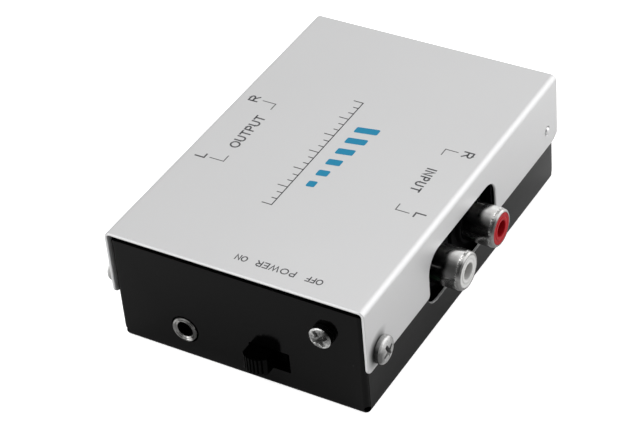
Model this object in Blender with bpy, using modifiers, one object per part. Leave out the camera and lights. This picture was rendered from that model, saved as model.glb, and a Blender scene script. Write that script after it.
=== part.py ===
"""Stereo preamp box: folded sheet-metal case, twin phono sockets on each side,
power jack, slide switch and ground terminal screw on the front.

Frame: metres, +Z up, +X towards the input sockets, -Y towards the front panel.
The origin is the middle of the underside.
"""

import math

import bmesh
import bpy
from mathutils import Matrix, Vector

# ---------------------------------------------------------------- dimensions
MM = 0.001

WIDTH = 56.8            # over the cover's side flanges
DEPTH = 82.0            # front edge to rear edge of the cover
HEIGHT = 25.9           # underside to top of the cover
COVER_SHEET = 0.65
COVER_BEND = 1.3        # outer radius of the cover's long bends
FLANGE_LOW = 10.6       # height of the flanges' lower edge
FLANGE_CORNER = 1.5     # rounded front corners of the flanges
FLANGE_CLIP = (1.75, 0.9)  # clipped rear corners: depth, height

TRAY_SHEET = 0.8
TRAY_BEND = 1.2         # outer radius of the long bends under the side walls
TRAY_EDGE = 1.0         # rounding round the outline of the front and rear walls
TRAY_SIDE_X = 27.6      # outer face of the tray's side walls
TRAY_FRONT_Y = 40.55    # outer face of the front and rear walls
TRAY_FRONT_TOP = 24.05
TRAY_REAR_TOP = 24.62     # the hidden rear wall reaches closer to the cover
TRAY_TOP_R = 0.8        # rounded top corners of the front and rear walls
TRAY_SIDE_TOP = 24.7
SEAM = 0.1              # slit between a side wall and the front or rear wall
SEAM_LOW = 1.35         # where the slit ends, in a round relief hole
RELIEF_R = 0.7

CUT_Y = (-16.2, 12.3)  # the flange's socket cut-out
CUT_TOP = 19.9
CUT_CORNER = 4.2
CUT_LIP = 1.0           # rounded corners where the cut-out meets the lower edge
WINDOW_Y = (-16.2, 11.5)  # the side wall's socket window
WINDOW_Z = (6.9, 20.9)
WINDOW_CORNER = 4.2

SOCKET_PITCH = 14.4
SOCKET_LEFT_Y = -8.6    # left channel, nearer the front
SOCKET_RIGHT_Y = SOCKET_LEFT_Y + SOCKET_PITCH
SOCKET_Z = 12.85
SHELL_END = 32.75       # how far out the shells reach
SHELL_R = 4.1
SHELL_BORE = 3.4
SHELL_ROOT = 16.5
BLOCK_BACK = 12.5
BLOCK_FACE = 25.0
COLLAR_FACE = 26.0
COLLAR_R = 4.9

SIDE_SCREWS = {"right": (-35.9, 13.55), "left": (-37.6, 14.5)}   # y, z of each cover screw
SIDE_HEAD_R = 2.85
PIN_Y = 36.15
PIN_Z = 14.95
PIN_R = 0.85

BOARD_TOP = 3.6
BOARD_THICK = 1.2
BOARD_X = 24.3
BOARD_Y = (-38.2, 38.6)
MOUNT_X = 20.8
MOUNT_Y = (-33.0, 34.0)

JACK_X = -12.52
JACK_Z = 6.8
JACK_R = 2.78
JACK_BORE = 1.72
JACK_HOLE = 3.08
JACK_END = 40.95

SLOT_X = (2.05, 11.0)
SLOT_Z = (4.35, 9.1)
KNOB_W = 5.3
KNOB_H = 3.8
KNOB_RISE = 2.05        # knob top above its middle line
KNOB_ROUND = 3.55       # plan radius of the ribbed finger face
KNOB_X = 4.85           # middle of the knob at rest, switched on
KNOB_Z = 6.6
KNOB_END = 44.3
KNOB_TRAVEL = 3.2

GROUND_X = 19.13
GROUND_Z = 17.4
GROUND_HEAD_R = 2.36
GROUND_SHANK_R = 1.2

GAP = 0.05              # seat clearance between pieces that touch

# ------------------------------------------------------------------- helpers
for old in list(bpy.data.objects):
    bpy.data.objects.remove(old, do_unlink=True)

PARTS = bpy.data.collections.new("stereo_preamp_box")
CUTTERS = bpy.data.collections.new("cutters")
bpy.context.scene.collection.children.link(PARTS)
bpy.context.scene.collection.children.link(CUTTERS)
CUTTERS.hide_render = True


def material(name, colour, roughness, metallic=0.0):
    mat = bpy.data.materials.new(name)
    mat.use_nodes = True
    shader = mat.node_tree.nodes["Principled BSDF"]
    shader.inputs["Base Color"].default_value = (*colour, 1.0)
    shader.inputs["Roughness"].default_value = roughness
    shader.inputs["Metallic"].default_value = metallic
    mat.diffuse_color = (*colour, 1.0)
    return mat


SILVER = ("silver", (0.62, 0.62, 0.62), 0.42, 0.85)
BLACK_METAL = ("black_metal", (0.018, 0.018, 0.02), 0.38, 0.0)
CHROME = ("chrome", (0.75, 0.75, 0.76), 0.14, 1.0)
ZINC = ("zinc", (0.55, 0.55, 0.56), 0.3, 1.0)
BLACK_PLASTIC = ("black_plastic", (0.015, 0.015, 0.016), 0.45, 0.0)
WHITE_PLASTIC = ("white_plastic", (0.85, 0.85, 0.83), 0.35, 0.0)
RED_PLASTIC = ("red_plastic", (0.58, 0.015, 0.03), 0.35, 0.0)
BRASS = ("brass", (0.62, 0.47, 0.2), 0.3, 1.0)
BOARD_GREEN = ("board_green", (0.03, 0.16, 0.06), 0.4, 0.0)
FILM = ("insulating_film", (0.55, 0.5, 0.3), 0.5, 0.0)
CAN_BLUE = ("capacitor_sleeve", (0.02, 0.03, 0.12), 0.4, 0.0)
FILM_RED = ("film_capacitor", (0.45, 0.07, 0.04), 0.45, 0.0)
BEIGE = ("resistor_body", (0.62, 0.5, 0.34), 0.5, 0.0)
GREEN_WIRE = ("wire_green", (0.03, 0.3, 0.07), 0.5, 0.0)


def place(obj, mat, helper=False, at=(0, 0, 0), turn=(0, 0, 0)):
    (CUTTERS if helper else PARTS).objects.link(obj)
    obj.location = Vector(at) * MM
    obj.rotation_euler = turn
    if helper:
        obj.hide_render = True
        obj.display_type = "WIRE"
    else:
        obj.data.materials.append(material(obj.name + "_" + mat[0], *mat[1:]))
    return obj


def from_bmesh(name, bm, mat, helper=False, at=(0, 0, 0), turn=(0, 0, 0), smooth=0):
    bmesh.ops.recalc_face_normals(bm, faces=bm.faces)
    mesh = bpy.data.meshes.new(name)
    bm.to_mesh(mesh)
    bm.free()
    if smooth:
        mesh.shade_smooth()
        mesh.set_sharp_from_angle(angle=math.radians(smooth))
    return place(bpy.data.objects.new(name, mesh), mat, helper, at, turn)


def box_into(bm, x, y, z):
    size = Vector((x[1] - x[0], y[1] - y[0], z[1] - z[0])) * MM
    mid = Vector((x[1] + x[0], y[1] + y[0], z[1] + z[0])) * (0.5 * MM)
    grown = Matrix.Translation(mid) @ Matrix.Diagonal((*size, 1.0))
    return bmesh.ops.create_cube(bm, size=1.0, matrix=grown)


def box(name, x, y, z, mat=None, helper=False, bevel=0.0, at=(0, 0, 0), turn=(0, 0, 0)):
    """A box between two values on each axis, in millimetres."""
    bm = bmesh.new()
    box_into(bm, x, y, z)
    obj = from_bmesh(name, bm, mat, helper, at, turn)
    if bevel:
        mod = obj.modifiers.new("edges", "BEVEL")
        mod.width = bevel * MM
        mod.segments = 1
        mod.limit_method = "ANGLE"
    return obj


def boxes(name, spans, mat=None, helper=True):
    """Several separate boxes in one helper mesh."""
    bm = bmesh.new()
    for x, y, z in spans:
        box_into(bm, x, y, z)
    return from_bmesh(name, bm, mat, helper)


TO_RIGHT = (0, math.pi / 2, 0)
TO_LEFT = (0, -math.pi / 2, 0)
TO_FRONT = (math.pi / 2, 0, 0)


def turned(name, profile, mat=None, helper=False, at=(0, 0, 0), turn=(0, 0, 0),
           steps=32, ring=False, smooth=35):
    """A profile of (radius, height) points, top to bottom down the outer side."""
    mesh = bpy.data.meshes.new(name)
    count = len(profile)
    edges = [(i, i + 1) for i in range(count - 1)]
    if ring:
        edges.append((count - 1, 0))
    mesh.from_pydata([(r * MM, 0.0, h * MM) for r, h in profile], edges, [])
    obj = place(bpy.data.objects.new(name, mesh), mat, helper, at, turn)
    mod = obj.modifiers.new("turn", "SCREW")
    mod.axis = "Z"
    mod.angle = 2 * math.pi
    mod.steps = steps
    mod.render_steps = steps
    mod.use_merge_vertices = True
    mod.merge_threshold = 0.00001
    mod.use_smooth_shade = bool(smooth)
    return obj


def arc(cx, cy, r, start, end, count):
    """Points on an arc, angles in degrees."""
    return [(cx + r * math.cos(math.radians(start + (end - start) * i / count)),
             cy + r * math.sin(math.radians(start + (end - start) * i / count)))
            for i in range(count + 1)]


def prism(name, outline, low, high, axis, mat=None, helper=True, at=(0, 0, 0)):
    """An outline extruded along an axis between two values.
    Along X the outline is (y, z); along Y it is (x, z); along Z it is (x, y)."""
    bm = bmesh.new()
    if axis == "X":
        verts = [bm.verts.new((low * MM, a * MM, b * MM)) for a, b in outline]
        move = Vector(((high - low) * MM, 0, 0))
    elif axis == "Y":
        verts = [bm.verts.new((a * MM, low * MM, b * MM)) for a, b in outline]
        move = Vector((0, (high - low) * MM, 0))
    else:
        verts = [bm.verts.new((a * MM, b * MM, low * MM)) for a, b in outline]
        move = Vector((0, 0, (high - low) * MM))
    face = bm.faces.new(verts)
    grown = bmesh.ops.extrude_face_region(bm, geom=[face])
    top = [v for v in grown["geom"] if isinstance(v, bmesh.types.BMVert)]
    bmesh.ops.translate(bm, verts=top, vec=move)
    return from_bmesh(name, bm, mat, helper, at)


def combine(obj, other, operation="DIFFERENCE"):
    mod = obj.modifiers.new(operation.lower() + "_" + other.name, "BOOLEAN")
    mod.operation = operation
    mod.solver = "EXACT"
    mod.object = other


def rounded_slot(y, z, corner, top_only=False, bottom_only=False, steps=5):
    """Outline of a window, with its corners rounded."""
    points = []
    if bottom_only or not top_only:
        points += arc(y[0] + corner, z[0] + corner, corner, 180, 270, steps)
        points += arc(y[1] - corner, z[0] + corner, corner, 270, 360, steps)
    else:
        points += [(y[0], z[0]), (y[1], z[0])]
    if top_only or not bottom_only:
        points += arc(y[1] - corner, z[1] - corner, corner, 0, 90, steps)
        points += arc(y[0] + corner, z[1] - corner, corner, 90, 180, steps)
    else:
        points += [(y[1], z[1]), (y[0], z[1])]
    return points


def cross_recess(name, width, slot, deep, at, turn):
    """A tapering plus-shaped cutter; its open end is at local z = 0."""
    a, b = width / 2, slot / 2
    outline = [(a, b), (b, b), (b, a), (-b, a), (-b, b), (-a, b),
               (-a, -b), (-b, -b), (-b, -a), (b, -a), (b, -b), (a, -b)]
    bm = bmesh.new()
    face = bm.faces.new([bm.verts.new((x * MM, y * MM, 0.8 * MM)) for x, y in outline])
    grown = bmesh.ops.extrude_face_region(bm, geom=[face])
    low = [v for v in grown["geom"] if isinstance(v, bmesh.types.BMVert)]
    bmesh.ops.translate(bm, verts=low, vec=(0, 0, -(deep + 0.8) * MM))
    for v in low:
        v.co.x *= 0.55
        v.co.y *= 0.55
    return from_bmesh(name, bm, None, True, at, turn)


def sheet(name, grids, thickness, mat):
    """A folded sheet: rows of outer-skin points joined into one open surface,
    then thickened inwards."""
    bm = bmesh.new()
    for rows in grids:
        made = [[bm.verts.new(Vector(p) * MM) for p in row] for row in rows]
        for low, high in zip(made, made[1:]):
            for i in range(len(low) - 1):
                bm.faces.new((low[i], low[i + 1], high[i + 1], high[i]))
    bmesh.ops.remove_doubles(bm, verts=bm.verts, dist=0.00001)
    bmesh.ops.recalc_face_normals(bm, faces=bm.faces)
    # The outer skin faces away from the middle of the box.
    middle = Vector((0, 0, HEIGHT / 2)) * MM
    lean = sum(f.normal.dot(f.calc_center_median() - middle) * f.calc_area() for f in bm.faces)
    if lean < 0:
        bmesh.ops.reverse_faces(bm, faces=bm.faces)
    mesh = bpy.data.meshes.new(name)
    bm.to_mesh(mesh)
    bm.free()
    obj = place(bpy.data.objects.new(name, mesh), mat)
    mod = obj.modifiers.new("sheet", "SOLIDIFY")
    mod.thickness = thickness * MM
    mod.offset = -1.0
    mod.use_even_offset = True
    return obj


# ----------------------------------------------------------------- top cover
half = WIDTH / 2
bend_points = ([(-half, FLANGE_LOW)]
               + arc(-half + COVER_BEND, HEIGHT - COVER_BEND, COVER_BEND, 180, 90, 5)
               + arc(half - COVER_BEND, HEIGHT - COVER_BEND, COVER_BEND, 90, 0, 5)
               + [(half, FLANGE_LOW)])
cover = sheet("top_cover",
              [[[(x, -DEPTH / 2, z) for x, z in bend_points],
                [(x, DEPTH / 2, z) for x, z in bend_points]]],
              COVER_SHEET, SILVER)

cut_outline = ([(CUT_Y[0] - CUT_LIP, FLANGE_LOW - 2)]
               + arc(CUT_Y[0] - CUT_LIP, FLANGE_LOW + CUT_LIP, CUT_LIP, -90, 0, 3)
               + arc(CUT_Y[0] + CUT_CORNER, CUT_TOP - CUT_CORNER, CUT_CORNER, 180, 90, 6)
               + arc(CUT_Y[1] - CUT_CORNER, CUT_TOP - CUT_CORNER, CUT_CORNER, 90, 0, 6)
               + arc(CUT_Y[1] + CUT_LIP, FLANGE_LOW + CUT_LIP, CUT_LIP, 180, 270, 3)
               + [(CUT_Y[1] + CUT_LIP, FLANGE_LOW - 2)])
combine(cover, prism("cutter_cover_sockets", cut_outline, -half - 3, half + 3, "X"))
front_corner = (arc(-DEPTH / 2 + FLANGE_CORNER, FLANGE_LOW + FLANGE_CORNER, FLANGE_CORNER, 180, 270, 5)
                + [(-DEPTH / 2 + FLANGE_CORNER, FLANGE_LOW - 2), (-DEPTH / 2 - 2, FLANGE_LOW - 2),
                   (-DEPTH / 2 - 2, FLANGE_LOW + FLANGE_CORNER)])
combine(cover, prism("cutter_cover_corner_front", front_corner, -half - 3, half + 3, "X"))
clip_y, clip_z = FLANGE_CLIP
rear_corner = [(DEPTH / 2 - 2 * clip_y, FLANGE_LOW - clip_z), (DEPTH / 2 + clip_y, FLANGE_LOW - clip_z),
               (DEPTH / 2 + clip_y, FLANGE_LOW + 2 * clip_z)]
combine(cover, prism("cutter_cover_corner_rear", rear_corner, -half - 3, half + 3, "X"))
for side, turn in (("right", TO_RIGHT), ("left", TO_LEFT)):
    for where, y, z, r in (("screw", *SIDE_SCREWS[side], 1.65), ("pin", PIN_Y, PIN_Z, PIN_R + 0.1)):
        combine(cover, turned("cutter_cover_%s_%s" % (where, side),
                              [(0, half + 3), (r, half + 3), (r, half - 6), (0, half - 6)],
                              helper=True, at=(0, y, z), turn=turn, steps=20))

# -------------------------------------------------------------- chassis tray
bm = bmesh.new()
rings = []
for end, first, last in ((-1, 0, 90), (1, 90, 0)):
    for k in range(4):
        t = math.radians(first + (last - first) * k / 3)
        inset = TRAY_EDGE * (1 - math.sin(t))
        y = end * (TRAY_FRONT_Y - TRAY_EDGE + TRAY_EDGE * math.cos(t))
        side, r = TRAY_SIDE_X - inset, TRAY_BEND - inset
        outline = ([(-side, TRAY_SIDE_TOP)] + arc(-side + r, inset + r, r, 180, 270, 4)
                   + arc(side - r, inset + r, r, 270, 360, 4) + [(side, TRAY_SIDE_TOP)])
        rings.append([bm.verts.new((x * MM, y * MM, z * MM)) for x, z in outline])
for here, there in zip(rings, rings[1:]):
    for k in range(len(here)):
        n = (k + 1) % len(here)
        bm.faces.new((here[k], here[n], there[n], there[k]))
bm.faces.new(rings[0][::-1])
bm.faces.new(rings[-1])
bmesh.ops.recalc_face_normals(bm, faces=bm.faces)
tray = from_bmesh("chassis_tray", bm, BLACK_METAL)
combine(tray, box("cutter_tray_inside", (-TRAY_SIDE_X + TRAY_SHEET, TRAY_SIDE_X - TRAY_SHEET),
                  (-TRAY_FRONT_Y + TRAY_SHEET, TRAY_FRONT_Y - TRAY_SHEET), (TRAY_SHEET, HEIGHT), helper=True))

inner_y = TRAY_FRONT_Y - TRAY_SHEET
seams = []
tops = []
for s in (-1, 1):
    tops.append(((-half, half), sorted((s * (inner_y - SEAM / 2), s * (TRAY_FRONT_Y + 1))),
                 (TRAY_FRONT_TOP if s < 0 else TRAY_REAR_TOP, HEIGHT)))
    for side in (-1, 1):
        seams.append((sorted((side * (TRAY_SIDE_X - TRAY_SHEET - 0.3), side * (TRAY_SIDE_X + 0.5))),
                      sorted((s * (inner_y - SEAM), s * (inner_y + 0.01))), (SEAM_LOW, HEIGHT)))
combine(tray, boxes("cutter_tray_tops", tops))
for s in (-1, 1):
    for side in (-1, 1):
        low, high = sorted((s * (inner_y - SEAM / 2), s * (TRAY_FRONT_Y + 1)))
        wall_top = TRAY_FRONT_TOP if s < 0 else TRAY_REAR_TOP
        corner = arc(side * (TRAY_SIDE_X - TRAY_TOP_R), wall_top - TRAY_TOP_R, TRAY_TOP_R,
                     90 - side * 90, 90, 4)
        corner += [(side * (TRAY_SIDE_X - TRAY_TOP_R), HEIGHT), (side * (TRAY_SIDE_X + 1), HEIGHT),
                   (side * (TRAY_SIDE_X + 1), wall_top - TRAY_TOP_R)]
        combine(tray, prism("cutter_tray_corner_%s_%s" % ("rear" if s > 0 else "front", "right" if side > 0 else "left"),
                            corner, low, high, "Y"))
combine(tray, boxes("cutter_tray_seams", seams))
for s in (-1, 1):
    for side in (-1, 1):
        combine(tray, turned("cutter_relief_%s_%s" % ("rear" if s > 0 else "front", "right" if side > 0 else "left"),
                             [(0, 2.2), (RELIEF_R, 2.2), (RELIEF_R, -2.2), (0, -2.2)], helper=True,
                             at=(side * TRAY_SIDE_X, s * TRAY_FRONT_Y, SEAM_LOW),
                             turn=(0, math.pi / 2, s * side * math.pi / 4), steps=10))

for s, name in ((-1, "left"), (1, "right")):
    window = prism("cutter_tray_window_" + name, rounded_slot(WINDOW_Y, WINDOW_Z, WINDOW_CORNER),
                   s * (TRAY_SIDE_X - 3), s * (TRAY_SIDE_X + 3), "X")
    combine(tray, window)
for side, turn in (("right", TO_RIGHT), ("left", TO_LEFT)):
    for where, y, z, r in (("screw", *SIDE_SCREWS[side], 1.5), ("pin", PIN_Y, PIN_Z, PIN_R + 0.1)):
        combine(tray, turned("cutter_tray_%s_%s" % (where, side),
                             [(0, half + 3), (r, half + 3), (r, half - 6), (0, half - 6)],
                             helper=True, at=(0, y, z), turn=turn, steps=20))
for where, x, z, r in (("power", JACK_X, JACK_Z, JACK_HOLE), ("ground", GROUND_X, GROUND_Z, 1.45)):
    bar = turned("cutter_tray_" + where, [(0, 3), (r, 3), (r, -3), (0, -3)],
                 helper=True, at=(x, -TRAY_FRONT_Y, z), turn=TO_FRONT, steps=24)
    combine(tray, bar)
combine(tray, box("cutter_tray_switch", SLOT_X, (-TRAY_FRONT_Y - 2, -TRAY_FRONT_Y + 2.2), SLOT_Z,
                  helper=True))

# ------------------------------------------------------- cover screws, pins
for s, name, turn in ((1, "right", TO_RIGHT), (-1, "left", TO_LEFT)):
    profile = [(0, 1.75), (1.1, 1.68), (2.0, 1.42), (2.55, 1.05), (SIDE_HEAD_R, 0.6), (SIDE_HEAD_R, GAP),
               (1.3, GAP), (1.3, -4.3), (0.8, -4.8), (0, -4.8)]
    y, z = SIDE_SCREWS[name]
    where = (s * half, y, z)
    screw = turned("cover_screw_" + name, profile, ZINC, at=where, turn=turn, steps=20)
    combine(screw, cross_recess("cutter_cover_screw_" + name, 3.0, 0.85, 1.15,
                                (s * (half + 1.75), y, z), turn))
    inner = TRAY_SIDE_X - TRAY_SHEET
    profile = [(0, half + 0.4), (0.45, half + 0.33), (0.72, half + 0.15), (PIN_R, half - 0.1),
               (PIN_R, inner - GAP), (1.9, inner - GAP), (1.9, inner - 0.6), (0, inner - 0.6)]
    turned("rear_locating_pin_" + name, profile, SILVER, at=(0, PIN_Y, PIN_Z), turn=turn, steps=12)

# ------------------------------------------------------------- circuit board
board_low = BOARD_TOP - BOARD_THICK
board = box("circuit_board", (-BOARD_X, BOARD_X), BOARD_Y, (board_low, BOARD_TOP), BOARD_GREEN)
film = box("insulating_sheet", (-BOARD_X + 1, BOARD_X - 1), (BOARD_Y[0] + 1, BOARD_Y[1] - 1),
           (TRAY_SHEET + GAP, TRAY_SHEET + 0.25), FILM)
number = 0
for y in MOUNT_Y:
    for x in (-MOUNT_X, MOUNT_X):
        number += 1
        tag = "_%d" % number
        standoff_top = board_low - GAP
        turned("board_standoff" + tag,
               [(2.2, standoff_top), (2.2, TRAY_SHEET + GAP), (1.1, TRAY_SHEET + GAP), (1.1, standoff_top)],
               ZINC, at=(x, y, 0), steps=12, ring=True)
        turned("board_screw" + tag,
               [(0, BOARD_TOP + 1.5), (1.3, BOARD_TOP + 1.35), (2.1, BOARD_TOP + 0.8), (2.1, BOARD_TOP + GAP),
                (1.0, BOARD_TOP + GAP), (1.0, TRAY_SHEET + 0.15), (0, TRAY_SHEET + 0.15)],
               ZINC, at=(x, y, 0), steps=12)
        combine(board, turned("cutter_board" + tag, [(0, 5), (1.15, 5), (1.15, 0), (0, 0)],
                              helper=True, at=(x, y, 0), steps=12))
        combine(film, turned("cutter_film" + tag, [(0, 2), (2.4, 2), (2.4, 0), (0, 0)],
                             helper=True, at=(x, y, 0), steps=12))

# ------------------------------------------------------------ phono sockets
for s, bank, turn in ((1, "input", TO_RIGHT), (-1, "output", TO_LEFT)):
    spans = []
    for y in (SOCKET_LEFT_Y, SOCKET_RIGHT_Y):
        spans.append(y)
    low_y, high_y = SOCKET_LEFT_Y - 6.3, SOCKET_RIGHT_Y + 6.3
    block = box(bank + "_jack_block", sorted((s * BLOCK_BACK, s * BLOCK_FACE)), (low_y, high_y),
                (BOARD_TOP + GAP, SOCKET_Z + 6.3), BLACK_PLASTIC)
    middle_y = (SOCKET_LEFT_Y + SOCKET_RIGHT_Y) / 2
    combine(block, box("cutter_groove_" + bank, sorted((s * (BLOCK_FACE - 1.4), s * (BLOCK_FACE + 1))),
                       (middle_y - 0.7, middle_y + 0.7), (2, 20), helper=True))
    for channel, y, colour in (("left", SOCKET_LEFT_Y, WHITE_PLASTIC),
                               ("right", SOCKET_RIGHT_Y, RED_PLASTIC)):
        where = (0, y, SOCKET_Z)
        tag = bank + "_" + channel
        combine(block, turned("collar_" + tag,
                              [(0, COLLAR_FACE), (COLLAR_R - 0.3, COLLAR_FACE), (COLLAR_R, COLLAR_FACE - 0.3),
                               (COLLAR_R, BLOCK_FACE - 1), (0, BLOCK_FACE - 1)],
                              helper=True, at=where, turn=turn, steps=28), "UNION")
        combine(block, turned("cutter_bore_" + tag,
                              [(0, COLLAR_FACE + 1), (SHELL_R + GAP, COLLAR_FACE + 1),
                               (SHELL_R + GAP, SHELL_ROOT - GAP), (1.25, SHELL_ROOT - GAP),
                               (1.25, BLOCK_BACK - 1), (0, BLOCK_BACK - 1)],
                              helper=True, at=where, turn=turn, steps=28))
        turned(tag + "_shell",
               [(SHELL_BORE, SHELL_END), (3.7, SHELL_END), (3.95, SHELL_END - 0.35),
                (SHELL_R, SHELL_END - 0.9), (SHELL_R, SHELL_ROOT), (SHELL_BORE, SHELL_ROOT)],
               CHROME, at=where, turn=turn, steps=28, ring=True)
        turned(tag + "_insulator",
               [(1.72, SHELL_END - 0.05), (2.3, SHELL_END - 0.05), (2.45, SHELL_END - 0.2),
                (SHELL_BORE - 0.05, SHELL_END - 0.2), (SHELL_BORE - 0.05, SHELL_ROOT + 0.3),
                (1.25, SHELL_ROOT + 0.3), (1.25, SHELL_ROOT + 2.0), (1.72, SHELL_ROOT + 2.0)],
               colour, at=where, turn=turn, steps=20, ring=True)
        contact = turned(tag + "_contact",
                         [(1.25, SHELL_END - 3.0), (1.65, SHELL_END - 3.4), (1.65, SHELL_ROOT + 2.1),
                          (1.15, SHELL_ROOT + 2.1), (1.15, BLOCK_BACK - 1.0), (0, BLOCK_BACK - 1.0),
                          (0, SHELL_ROOT + 3.0), (1.25, SHELL_ROOT + 3.0)],
                         BRASS, at=where, turn=turn, steps=12, ring=True)
        tail = box("tail_" + tag, sorted((s * (BLOCK_BACK - 0.9), s * (BLOCK_BACK - 0.4))),
                   (y - 0.6, y + 0.6), (BOARD_TOP + GAP, SOCKET_Z), helper=True)
        combine(contact, tail, "UNION")

# ---------------------------------------------------------------- power jack
jack_back = 25.8
body = box("power_jack_body", (JACK_X - 3.1, JACK_X + 3.1), (-38.2, -jack_back),
           (BOARD_TOP + GAP, JACK_Z + 2.8), BLACK_PLASTIC, bevel=0.25)
combine(body, turned("cutter_power_bore", [(0, 39), (JACK_BORE, 39), (JACK_BORE, 27), (0, 27)],
                     helper=True, at=(JACK_X, 0, JACK_Z), turn=TO_FRONT, steps=20))
turned("power_jack_ferrule",
       [(JACK_BORE + 0.4, JACK_END), (JACK_R - 0.25, JACK_END), (JACK_R, JACK_END - 0.25),
        (JACK_R, 38.3), (JACK_BORE, 38.3), (JACK_BORE, JACK_END - 0.4)],
       CHROME, at=(JACK_X, 0, JACK_Z), turn=TO_FRONT, steps=28, ring=True)
turned("power_jack_contact",
       [(1.2, 30.0), (1.65, 30.0), (1.65, 27.1), (1.2, 27.1)],
       BRASS, at=(JACK_X, 0, JACK_Z), turn=TO_FRONT, steps=14, ring=True)

# -------------------------------------------------------------- slide switch
frame_x = (-0.45, 13.35)
frame_z = (BOARD_TOP + GAP, KNOB_Z + 2.55)
frame_y = (-(TRAY_FRONT_Y - TRAY_SHEET) + GAP, -35.4)
wall = 0.3
can = box("switch_frame", frame_x, frame_y, frame_z, ZINC)
combine(can, box("cutter_switch_can", (frame_x[0] + wall, frame_x[1] - wall),
                 (frame_y[0] + wall, frame_y[1] + 1), (frame_z[0] + wall, frame_z[1] - wall), helper=True))
combine(can, box("cutter_switch_slot", SLOT_X, (frame_y[0] - 1, frame_y[0] + 1),
                 (frame_z[0] + wall, frame_z[1] - wall), helper=True))
base = box("switch_base", (frame_x[0] + wall + GAP, frame_x[1] - wall - GAP), (-36.6, -35.5),
           (frame_z[0] + wall + GAP, frame_z[1] - wall - GAP), BLACK_PLASTIC)
for n, x in enumerate((2.0, 6.2, 10.4)):
    tag = "_%d" % (n + 1)
    foot = box("switch_terminal" + tag, (x - 0.6, x + 0.6), (-36.85, -36.65), (KNOB_Z - 2.0, KNOB_Z + 1.8), BRASS)
    combine(foot, box("stem" + tag, (x - 0.35, x + 0.35), (-36.75, -34.3), (KNOB_Z - 0.6, KNOB_Z - 0.3), helper=True), "UNION")
    combine(foot, box("leg" + tag, (x - 0.35, x + 0.35), (-34.6, -34.3), (BOARD_TOP + GAP, KNOB_Z - 0.3), helper=True),
            "UNION")
    combine(base, box("cutter_terminal" + tag, (x - 0.4, x + 0.4), (-37, -35), (KNOB_Z - 0.65, KNOB_Z - 0.25), helper=True))

knob_high = KNOB_Z + KNOB_RISE
knob_low = knob_high - KNOB_H


def knob_front(x):
    """How far the ribbed face reaches forward at x from the knob's middle."""
    return KNOB_END - KNOB_ROUND + math.sqrt(KNOB_ROUND ** 2 - x * x)


ribs = 7
plan = [(-KNOB_W / 2, -38.4)]
for i in range(ribs):
    first = -KNOB_W / 2 + KNOB_W * i / ribs + (0.16 if i else 0.0)
    last = -KNOB_W / 2 + KNOB_W * (i + 1) / ribs - (0.16 if i < ribs - 1 else 0.0)
    if i:
        plan.append((first, 0.4 - knob_front(first)))
    plan += [(x, -knob_front(x)) for x in (first, (first + last) / 2, last)]
    if i < ribs - 1:
        plan.append((last, 0.4 - knob_front(last)))
plan.append((KNOB_W / 2, -38.4))
knob = prism("switch_knob", plan, knob_low - KNOB_Z, knob_high - KNOB_Z, "Z", BLACK_PLASTIC, helper=False,
             at=(KNOB_X, 0, KNOB_Z))
combine(knob, box("slider_plate", (KNOB_X - 4.7, KNOB_X + 4.7), (-39.1, -37.75), (knob_low, knob_high - 0.1),
                  helper=True), "UNION")
box("switch_wiper", (-2.9, 2.9), (-37.6, -37.1), (-1.2, 1.2), BRASS, bevel=0.12, at=(KNOB_X, 0, KNOB_Z))

# ---------------------------------------------- ground terminal and its wire
face = TRAY_FRONT_Y
inner = TRAY_FRONT_Y - TRAY_SHEET
where = (GROUND_X, 0, GROUND_Z)
turned("ground_washer",
       [(2.4, face + 0.3), (2.4, face + GAP), (1.35, face + GAP), (1.35, face + 0.3)],
       ZINC, at=where, turn=TO_FRONT, steps=20, ring=True)
head = face + 0.35
screw = turned("ground_screw",
               [(0, head + 1.5), (1.1, head + 1.43), (1.9, head + 1.15), (2.35, head + 0.75),
                (GROUND_HEAD_R, head + 0.35), (GROUND_HEAD_R, head), (GROUND_SHANK_R, head),
                (GROUND_SHANK_R, 31.6), (0.8, 31.2), (0, 31.2)],
               CHROME, at=where, turn=TO_FRONT, steps=20)
combine(screw, cross_recess("cutter_ground_screw", 2.7, 0.75, 1.0,
                            (GROUND_X, -(head + 1.5), GROUND_Z), TO_FRONT))
lug_y = inner - GAP
lug = turned("ground_lug", [(3.1, lug_y), (3.1, lug_y - 0.4), (1.4, lug_y - 0.4), (1.4, lug_y)],
             ZINC, at=where, turn=TO_FRONT, steps=20, ring=True)
combine(lug, box("lug_tail", (GROUND_X - 1.2, GROUND_X + 1.2), (-lug_y, -lug_y + 0.4),
                 (GROUND_Z - 7.4, GROUND_Z - 2.6), helper=True), "UNION")
bm = bmesh.new()
bmesh.ops.create_cone(bm, cap_ends=True, segments=6, radius1=3.15 * MM, radius2=3.15 * MM, depth=2.2 * MM)
nut_mid = lug_y - 0.4 - GAP - 1.1
nut = from_bmesh("ground_nut", bm, ZINC, at=(GROUND_X, -nut_mid, GROUND_Z), turn=TO_FRONT)
combine(nut, turned("cutter_nut", [(0, 45), (1.3, 45), (1.3, 30), (0, 30)], helper=True,
                    at=where, turn=TO_FRONT, steps=16))

route = [Vector((GROUND_X, -38.4, GROUND_Z - 6.2)), Vector((GROUND_X, -37.4, GROUND_Z - 6.6)),
         Vector((GROUND_X - 0.6, -35.2, GROUND_Z - 8.4)), Vector((GROUND_X - 1.5, -33.6, BOARD_TOP + 3.2)),
         Vector((GROUND_X - 2.0, -33.2, BOARD_TOP + 0.1))]


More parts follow.
